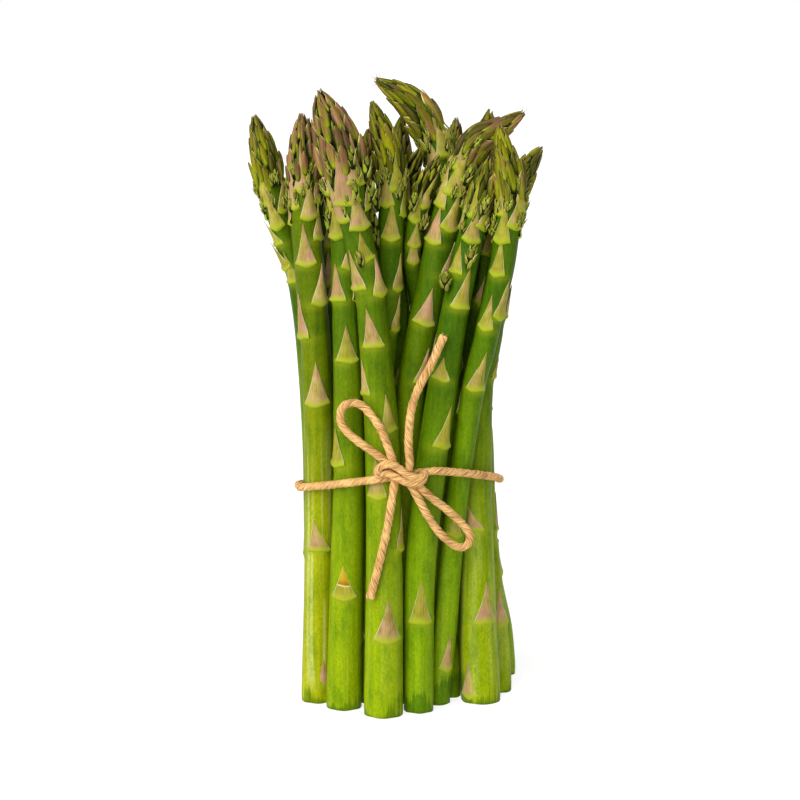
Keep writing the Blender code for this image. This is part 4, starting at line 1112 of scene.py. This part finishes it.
def add_node(tree, kind, inputs=None, **settings):
    """Add a shader node, set its own settings, and set or link its inputs."""
    node = tree.nodes.new(kind)
    for key, value in settings.items():
        setattr(node, key, value)
    for key, value in (inputs or {}).items():
        if isinstance(value, bpy.types.NodeSocket):
            tree.links.new(value, node.inputs[key])
        else:
            node.inputs[key].default_value = value
    return node


def rgba(colour):
    """A colour or grey as the four values of a socket. A socket that is given stays as it is."""
    if isinstance(colour, bpy.types.NodeSocket):
        return colour
    return (colour, colour, colour, 1.0) if isinstance(colour, float) else (*colour, 1.0)


def mixed(tree, share, first, second, blend="MIX"):
    """A colour between two, by a share."""
    node = add_node(tree, "ShaderNodeMix", {0: share, 6: rgba(first), 7: rgba(second)},
                    data_type="RGBA", blend_type=blend)
    return node.outputs[2]


def ramped(tree, value, stops):
    """A colour or grey read off a ramp of (place, colour) stops."""
    node = add_node(tree, "ShaderNodeValToRGB", {"Fac": value})
    ramp = node.color_ramp
    while len(ramp.elements) < len(stops):
        ramp.elements.new(0.5)
    for element, (place, colour) in zip(ramp.elements, stops):
        element.position = place
        element.color = rgba(colour)
    return node.outputs["Color"]


def tinted(tree, share, colour, value, stops):
    """A colour multiplied, by a share, with a colour read off a ramp."""
    return mixed(tree, share, colour, ramped(tree, value, stops), "MULTIPLY")


def worked(tree, operation, first, second):
    """One sum on two values."""
    return add_node(tree, "ShaderNodeMath", {0: first, 1: second}, operation=operation).outputs[0]


def product(tree, first, second):
    """The product of two values."""
    return worked(tree, "MULTIPLY", first, second)


def swayed(tree, value, noise, span, middle=0.5):
    """A value carried up and down by a noise: value + span (noise - middle)."""
    return worked(tree, "ADD", value, product(tree, worked(tree, "SUBTRACT", noise, middle), span))


def stretched_noise(tree, vector, stretch, detail=3.0, roughness=0.55):
    """Noise on a vector stretched by a factor for each axis."""
    mapping = add_node(tree, "ShaderNodeMapping", {"Vector": vector, "Scale": stretch})
    noise = add_node(tree, "ShaderNodeTexNoise", {"Vector": mapping.outputs[0], "Scale": 1.0,
                                                  "Detail": detail, "Roughness": roughness})
    return noise.outputs["Fac"]


def new_finish(name, roughness, **fixed):
    """A Principled material with its look values: (material, tree, shader, object, chart, look)."""
    material = bpy.data.materials.new(name)
    material.use_nodes = True
    tree = material.node_tree
    shader = tree.nodes["Principled BSDF"]
    shader.inputs["Roughness"].default_value = roughness
    for key, value in fixed.items():
        shader.inputs[key.replace("_", " ")].default_value = value
    places = add_node(tree, "ShaderNodeTexCoord")
    attribute = add_node(tree, "ShaderNodeAttribute", attribute_name="look")
    look = add_node(tree, "ShaderNodeSeparateColor", {"Color": attribute.outputs["Color"]})
    values = [look.outputs["Red"], look.outputs["Green"], look.outputs["Blue"], attribute.outputs["Alpha"]]
    return material, tree, shader, places.outputs["Object"], places.outputs["UV"], values


def cover(tree, shader, colour, height=None, strength=0.5, distance=0.0003):
    """Give the shader its colour, and raise the surface by a height."""
    tree.links.new(colour, shader.inputs["Base Color"])
    if height is not None:
        bump = add_node(tree, "ShaderNodeBump", {"Height": height, "Strength": strength,
                                                 "Distance": distance})
        tree.links.new(bump.outputs["Normal"], shader.inputs["Normal"])


def stem_skin(settings):
    """Waxy green skin: pale at the foot and deeper above, with streaks, soft blotches and specks.

    The stem is lighter under each bract, its foot has a dark ragged edge, and between the scales
    of the head it is painted dark, as painted shade.
    """
    material, tree, shader, place, _, look = new_finish(
        "stem_skin", 0.45, Subsurface_Weight=0.05, Subsurface_Scale=0.001, Specular_IOR_Level=0.05)
    height, glow, tint, head_shade = look
    blotches = stretched_noise(tree, place, (190, 190, 85), 5.0, 0.6)
    broad = stretched_noise(tree, place, (60, 60, 28), 2.0)
    streaks = stretched_noise(tree, place, (820, 820, 24))
    grain = stretched_noise(tree, place, (1500, 1500, 900), 3.0, 0.7)
    foot, middle, top = settings.foot_colour, settings.middle_colour, settings.top_colour
    colour = ramped(tree, swayed(tree, height, broad, 0.3),
                    [(0.0, foot), (0.10, foot), (0.36, middle), (0.68, top), (1.0, top)])
    olive = mixed(tree, 1.0, colour, (1.75, 1.18, 1.0), "MULTIPLY")
    colour = mixed(tree, tint, colour, olive)
    bands = ramped(tree, stretched_noise(tree, place, (330, 330, 8), 2.0), [(0.46, 0.0), (0.60, 0.85)])
    low = ramped(tree, height, [(0.02, 0.0), (0.05, 1.0), (0.25, 1.0), (0.5, 0.0)])
    on_olive = ramped(tree, tint, [(0.3, 0.05), (1.0, 1.0)])
    colour = mixed(tree, product(tree, product(tree, bands, low), on_olive), colour, (0.470, 0.500, 0.150))
    colour = tinted(tree, 0.55, colour, blotches, [(0.36, (0.42, 0.58, 0.5)), (0.45, (0.8, 0.88, 0.8)),
                                                   (0.54, 1.0), (0.7, (1.2, 1.1, 1.0))])
    colour = tinted(tree, 0.5, colour, streaks,
                    [(0.3, (0.66, 0.76, 0.5)), (0.5, 1.0), (0.72, (1.3, 1.22, 1.6))])
    colour = tinted(tree, 0.7, colour, grain,
                    [(0.35, (0.72, 0.78, 0.6)), (0.5, 1.0), (0.66, (1.28, 1.2, 1.4))])
    colour = mixed(tree, product(tree, glow, 0.45), colour, settings.rim_colour)
    ragged = swayed(tree, swayed(tree, height, streaks, 0.05), broad, -0.20, 0.47)
    foot_band = product(tree, ramped(tree, ragged, [(0.010, 1.0), (0.018, 0.0)]),
                     ramped(tree, height, [(0.045, 0.8), (0.07, 0.0)]))
    colour = mixed(tree, foot_band, colour, (0.38, 0.52, 0.4), "MULTIPLY")
    cut_edge = ramped(tree, height, [(0.0, 0.7), (0.008, 0.0)])
    colour = mixed(tree, cut_edge, colour, (0.55, 0.6, 0.4), "MULTIPLY")
    # Painted shade on the stem between the head's scales
    colour = mixed(tree, head_shade, colour, settings.head_shade_colour)
    rough = worked(tree, "ADD", 0.34, product(tree, blotches, 0.25))
    tree.links.new(rough, shader.inputs["Roughness"])
    cover(tree, shader, colour, worked(tree, "ADD", streaks, product(tree, grain, 0.4)))
    return material


def bract_skin(settings):
    """A dry triangular bract: mauve or yellow, veined lengthwise, with a green rim and pale edges.

    A torn one, which has a blush below 0, is orange and dry above a pale ragged seam.
    """
    material, tree, shader, place, chart, look = new_finish(
        "bract_skin", 0.5, Subsurface_Weight=0.04, Subsurface_Scale=0.001, Specular_IOR_Level=0.08)
    along, margin, shade, blush = look
    veins = stretched_noise(tree, chart, (2.6, 0.16, 1.0))
    patches = stretched_noise(tree, place, (420, 420, 260), 4.0)
    broad = stretched_noise(tree, place, (230, 230, 160), 2.0)
    turned = ramped(tree, swayed(tree, blush, patches, 1.5), [(0.2, 0.0), (0.75, 1.0)])
    colour = mixed(tree, turned, settings.pale_colour, settings.blush_colour)
    greener = ramped(tree, broad, [(0.45, 0.0), (0.62, 0.55)])
    colour = mixed(tree, greener, colour, (0.300, 0.315, 0.030))
    colour = tinted(tree, 0.7, colour, veins,
                    [(0.3, (0.66, 0.62, 0.55)), (0.5, 1.0), (0.72, (1.3, 1.28, 1.35))])
    colour = tinted(tree, 0.7, colour, patches,
                    [(0.35, (0.8, 0.78, 0.75)), (0.5, 1.0), (0.66, (1.2, 1.2, 1.25))])
    tip = ramped(tree, along, [(0.75, 0.0), (0.98, 0.6)])
    colour = mixed(tree, tip, colour, (0.26, 0.17, 0.04))
    torn = worked(tree, "LESS_THAN", blush, -0.5)
    ragged = swayed(tree, along, patches, 0.12)
    dry = product(tree, torn, ramped(tree, ragged, [(0.46, 0.0), (0.48, 1.0)]))
    orange = ramped(tree, ragged, [(0.48, (0.26, 0.10, 0.004)), (0.62, (0.40, 0.25, 0.008)),
                                   (1.0, (0.42, 0.30, 0.02))])
    colour = mixed(tree, dry, colour, orange)
    seam = ramped(tree, ragged, [(0.42, 0.0), (0.44, 0.8), (0.45, 0.8), (0.475, 0.0)])
    colour = mixed(tree, product(tree, torn, seam), colour, (0.58, 0.52, 0.24))
    colour = tinted(tree, 1.0, colour, shade,
                    [(0.0, (0.3, 0.32, 0.3)), (0.4, (0.88, 0.88, 0.86)), (1.0, (1.12, 1.12, 1.14))])
    rim = ramped(tree, swayed(tree, along, veins, 0.10), [(0.11, 1.0), (0.155, 0.65), (0.24, 0.0)])
    colour = mixed(tree, rim, colour, settings.rim_colour)
    edge = product(tree, ramped(tree, margin, [(0.89, 0.0), (0.97, 0.85)]),
                ramped(tree, along, [(0.12, 0.0), (0.18, 1.0)]))
    colour = mixed(tree, edge, colour, (0.48, 0.45, 0.28))
    cover(tree, shader, colour, worked(tree, "ADD", veins, product(tree, patches, 0.5)))
    return material


def scale_skin(settings):
    """A head scale: olive green, brown or mauve down its middle and tip, with thin pale edges."""
    material, tree, shader, place, chart, look = new_finish(
        "scale_skin", 0.48, Subsurface_Weight=0.03, Subsurface_Scale=0.001, Specular_IOR_Level=0.08)
    along, margin, shade, blush = look
    veins = stretched_noise(tree, chart, (2.4, 0.14, 1.0))
    patches = stretched_noise(tree, place, (380, 380, 240), 4.0)
    green, brown = settings.scale_colour, settings.streak_colour
    colour = ramped(tree, along, [(0.16, (0.210, 0.235, 0.003)), (0.42, green), (0.75, green), (1.0, brown)])
    turned = product(tree, ramped(tree, swayed(tree, blush, patches, 1.1), [(0.2, 0.0), (0.8, 1.0)]),
                  ramped(tree, along, [(0.25, 0.0), (0.55, 1.0)]))
    colour = mixed(tree, turned, colour, settings.mauve_colour)
    middle = worked(tree, "SUBTRACT", 1.0, margin)
    streak = product(tree, ramped(tree, swayed(tree, middle, veins, 1.0), [(0.5, 0.0), (0.9, 0.6)]),
                  ramped(tree, along, [(0.3, 0.0), (0.6, 1.0)]))
    colour = mixed(tree, streak, colour, brown)
    colour = tinted(tree, 0.85, colour, veins,
                    [(0.3, (0.42, 0.42, 0.34)), (0.5, 1.0), (0.72, (1.6, 1.55, 1.5))])
    # Pale edges: partly the scale's own margin and partly a painted highlight of lit rims
    colour = mixed(tree, ramped(tree, margin, [(0.78, 0.0), (0.92, 0.9)]), colour, settings.margin_highlight_colour)
    # Painted shade, near black where the scale lies sunk among its neighbours, and a painted highlight on the
    # scales drawn brightest
    colour = tinted(tree, 1.0, colour, shade, [(0.0, (0.02, 0.03, 0.02)), (0.30, (0.15, 0.17, 0.13)),
                                               (0.52, (0.80, 0.86, 0.8)), (1.0, (1.9, 1.85, 1.6))])
    cover(tree, shader, colour, veins)
    return material


def bud_skin(settings):
    """A side bud: bright green scales with cream edges and brown tips."""
    material, tree, shader, place, _, look = new_finish("bud_skin", 0.5, Specular_IOR_Level=0.08)
    along, margin, shade, blush = look
    patches = stretched_noise(tree, place, (700, 700, 500), 2.0)
    green = settings.bud_colour
    colour = ramped(tree, along, [(0.1, settings.rim_colour), (0.4, green), (0.85, green),
                                  (1.0, settings.streak_colour)])
    colour = mixed(tree, product(tree, blush, 0.6), colour, settings.mauve_colour)
    colour = tinted(tree, 0.8, colour, patches, [(0.35, (0.5, 0.52, 0.4)), (0.65, (1.3, 1.25, 1.1))])
    # Cream edges: partly the scale's own margin and partly a painted highlight of lit rims
    colour = mixed(tree, ramped(tree, margin, [(0.72, 0.0), (0.92, 0.85)]), colour, settings.margin_highlight_colour)
    # Painted shade, dark where a bud scale or young scale lies sunk among its neighbours and darkest on a
    # bud's core
    colour = tinted(tree, 1.0, colour, shade, [(0.0, (0.06, 0.07, 0.05)), (0.3, (0.55, 0.6, 0.5)),
                                               (0.6, 1.0), (1.0, (1.3, 1.3, 1.2))])
    cover(tree, shader, colour)
    return material


def cut_flesh(_):
    """The cut end: pale moist flesh with darker strands."""
    material, tree, shader, place, _, _ = new_finish("cut_flesh", 0.45, Subsurface_Weight=0.1,
                                                     Subsurface_Scale=0.001)
    strands = add_node(tree, "ShaderNodeTexVoronoi", {"Vector": place, "Scale": 900.0}).outputs["Distance"]
    colour = ramped(tree, strands, [(0.0, (0.20, 0.26, 0.05)), (0.35, (0.46, 0.52, 0.20))])
    cover(tree, shader, colour, strands, 0.4)
    return material


def twine_fibre(settings):
    """Tan twisted fibre, darker down between the plies, with fine strands along them."""
    material, tree, shader, _, chart, look = new_finish("twine_fibre", 0.9, Specular_IOR_Level=0.1)
    crown, uneven, _, _ = look
    strands = stretched_noise(tree, chart, (2.3, 0.20, 1.0), 3.0, 0.65)
    crease_shade = stretched_noise(tree, chart, (1.7, 0.16, 1.0), 2.0, 0.5)
    fine = stretched_noise(tree, chart, (6.0, 0.9, 1.0), 2.0, 0.6)
    # Painted shade, darker down between the plies
    colour = ramped(tree, crown, [(0.05, settings.groove_shade_colour), (0.45, (0.46, 0.235, 0.095)),
                                  (0.8, settings.colour)])
    # Fibre strands: partly their own tone and partly a painted highlight and shade of their relief
    colour = tinted(tree, 0.9, colour, strands,
                    [(0.34, (0.40, 0.30, 0.21)), (0.47, (0.92, 0.89, 0.87)), (0.64, (1.5, 1.58, 1.8))])
    colour = tinted(tree, 0.5, colour, fine, [(0.3, (0.7, 0.65, 0.6)), (0.7, (1.3, 1.35, 1.4))])
    colour = tinted(tree, 0.6, colour, uneven, [(0.2, (0.82, 0.78, 0.7)), (0.8, (1.15, 1.18, 1.2))])
    # Painted shade in thin creases along the twine
    colour = tinted(tree, 0.9, colour, crease_shade, [(0.30, (0.30, 0.20, 0.12)), (0.38, 1.0)])
    relief = worked(tree, "ADD", strands, product(tree, fine, 0.5))
    cover(tree, shader, colour, relief, 0.9, 0.0006)
    return material


def floor_finish(settings):
    """A plain white floor."""
    material = bpy.data.materials.new("floor_white")
    material.use_nodes = True
    shader = material.node_tree.nodes["Principled BSDF"]
    shader.inputs["Base Color"].default_value = (*settings.floor_colour, 1.0)
    shader.inputs["Roughness"].default_value = 0.9
    shader.inputs["Specular IOR Level"].default_value = 0.0
    shader.inputs["Emission Color"].default_value = (1.0, 1.0, 1.0, 1.0)
    shader.inputs["Emission Strength"].default_value = settings.floor_glow
    return material


# What is worked out once: the materials by their makers, and the laid-out spears by name
FINISHES = {}
BUNDLE = {}


def finish(maker, settings):
    """A material by its maker, made once."""
    if maker not in FINISHES:
        FINISHES[maker] = maker(settings)
    return FINISHES[maker]


def bundle():
    """The laid-out spears, worked out once."""
    if not BUNDLE:
        BUNDLE.update(lay_out())
    return BUNDLE


def fit_piece(item, slot, *nodes):
    """Put a finished piece on the root body, keeping it in place, and hide the CAD nodes that it stands for.
    """
    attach(item, "root")
    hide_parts(*nodes)


def point_at(item, target):
    """Turn a light or camera to look at a point."""
    way = Vector(target) - item.location
    item.rotation_euler = way.to_track_quat("-Z", "Y").to_euler()


class ASPARAGUS_OT_stage(bpy.types.Operator):
    """Set up the floor, the lights and the camera"""
    bl_idname = "asparagus.stage"
    bl_label = "Stage"

    def execute(self, context):
        settings = context.scene.asparagus_stage
        scene = context.scene
        reach = settings.floor_reach
        mesh = bpy.data.meshes.new("floor")
        mesh.from_pydata([(-reach, -reach, 0), (reach, -reach, 0), (reach, reach, 0), (-reach, reach, 0)], [],
                         [(0, 1, 2, 3)])
        mesh.materials.append(floor_finish(settings))
        floor = bpy.data.objects.new("floor", mesh)
        scene.collection.objects.link(floor)
        camera = bpy.data.objects.new("camera", bpy.data.cameras.new("camera"))
        camera.data.lens = settings.lens
        camera.data.clip_start = 0.01
        camera.data.clip_end = 200.0
        camera.location = settings.eye
        camera.rotation_euler = (math.pi / 2 - settings.tilt, 0, 0)
        scene.collection.objects.link(camera)
        scene.camera = camera
        lights = (("key_light", (-0.66, -1.0, 1.05), settings.key_strength, 65.0),
                  ("rim_light", (0.9, 1.0, 1.1), settings.rim_strength, 40.0))
        for name, place, strength, softness in lights:
            light = bpy.data.objects.new(name, bpy.data.lights.new(name, "SUN"))
            light.data.energy = strength
            light.data.angle = math.radians(softness)
            light.location = place
            point_at(light, (0, 0, 0.1))
            scene.collection.objects.link(light)
        self.light_room(scene, settings)
        scene.view_settings.view_transform = "Standard"
        return {"FINISHED"}

    def light_room(self, scene, settings):
        """A white horizon under a dimmer ceiling."""
        world = bpy.data.worlds.new("white_room")
        world.use_nodes = True
        scene.world = world
        tree = world.node_tree
        place = add_node(tree, "ShaderNodeTexCoord")
        parts = add_node(tree, "ShaderNodeSeparateXYZ", {"Vector": place.outputs["Generated"]})
        light = ramped(tree, parts.outputs["Z"], [(0.04, 1.0), (0.16, settings.room_light)])
        tree.links.new(light, tree.nodes["Background"].inputs["Color"])


class ASPARAGUS_OT_twine_ends(bpy.types.Operator):
    """Lay the two loose ends of the twine"""
    bl_idname = "asparagus.twine_ends"
    bl_label = "Twine ends"

    def execute(self, context):
        settings = context.scene.asparagus_twine
        fibre = finish(twine_fibre, settings)
        thickness = settings.thickness / MM
        draw = np.random.RandomState(SEED)
        for name, points in END_RUNS.items():
            route = laid_over(smooth_route(points, 4 * len(points)), bundle(), thickness)
            surface = Surface()
            axis = add_twine(surface, route, settings, draw, loose_end=True)
            item = surface.to_object("twine_" + name, [fibre])
            fit_piece(item, "twine", "twine")
        return {"FINISHED"}


class ASPARAGUS_OT_twine_bow(bpy.types.Operator):
    """Lay the twine's ring, knot and two loops"""
    bl_idname = "asparagus.twine_bow"
    bl_label = "Twine bow"

    def execute(self, context):
        settings = context.scene.asparagus_twine
        thickness = settings.thickness / MM
        draw = np.random.RandomState(SEED + 1)
        surface = Surface()
        add_twine(surface, ring_route(bundle(), thickness), settings, draw)
        for points in KNOT_RUNS.values():
            route = laid_over(smooth_route(points, 4 * len(points)), bundle(), thickness)
            add_twine(surface, route, settings, draw)
        fit_piece(surface.to_object("twine_bow", [finish(twine_fibre, settings)]), "twine", "twine")
        return {"FINISHED"}


class ASPARAGUS_OT_spears(bpy.types.Operator):
    """Grow the spears of one row"""
    bl_idname = "asparagus.spears"
    bl_label = "Spears"

    row: EnumProperty(name="Row", description="The row of spears to grow",
                      items=[(row, row.capitalize(), text) for row, text in ROWS.items()])

    def execute(self, context):
        settings = context.scene.asparagus_spears
        laid_out = bundle()
        makers = (stem_skin, bract_skin, scale_skin, bud_skin, cut_flesh)
        finishes = [finish(maker, settings) for maker in makers]
        for name in SPEARS:
            if name.startswith("spear_" + self.row):
                item = grow_spear(name, laid_out[name], settings, finishes)
                fit_piece(item, "asparagus", name)
        return {"FINISHED"}


class ASPARAGUS_PT_panel(bpy.types.Panel):
    """The steps of the bundle, in order"""
    bl_idname = "ASPARAGUS_PT_panel"
    bl_label = "Bundle of asparagus"
    bl_space_type = "VIEW_3D"
    bl_region_type = "UI"
    bl_category = "Asparagus"

    def draw(self, context):
        column = self.layout.column()
        column.operator("asparagus.stage")
        column.operator("asparagus.twine_ends")
        column.operator("asparagus.twine_bow")
        for row in ROWS:
            column.operator("asparagus.spears", text=f"Spears, {row} row").row = row


CLASSES = (AsparagusSpearSettings, AsparagusTwineSettings, AsparagusStageSettings, ASPARAGUS_OT_stage,
           ASPARAGUS_OT_twine_ends, ASPARAGUS_OT_twine_bow, ASPARAGUS_OT_spears, ASPARAGUS_PT_panel)
SETTINGS = {"asparagus_spears": AsparagusSpearSettings, "asparagus_twine": AsparagusTwineSettings,
            "asparagus_stage": AsparagusStageSettings}


def register():
    for each in CLASSES:
        bpy.utils.register_class(each)
    for name, group in SETTINGS.items():
        setattr(bpy.types.Scene, name, PointerProperty(type=group))


def unregister():
    for name in SETTINGS:
        delattr(bpy.types.Scene, name)
    for each in reversed(CLASSES):
        bpy.utils.unregister_class(each)


def main():
    """Register the add-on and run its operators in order."""
    register()
    bpy.ops.asparagus.stage()
    bpy.ops.asparagus.twine_ends()
    bpy.ops.asparagus.twine_bow()
    for row in ROWS:
        bpy.ops.asparagus.spears(row=row)


if __name__ == "__main__":
    main()
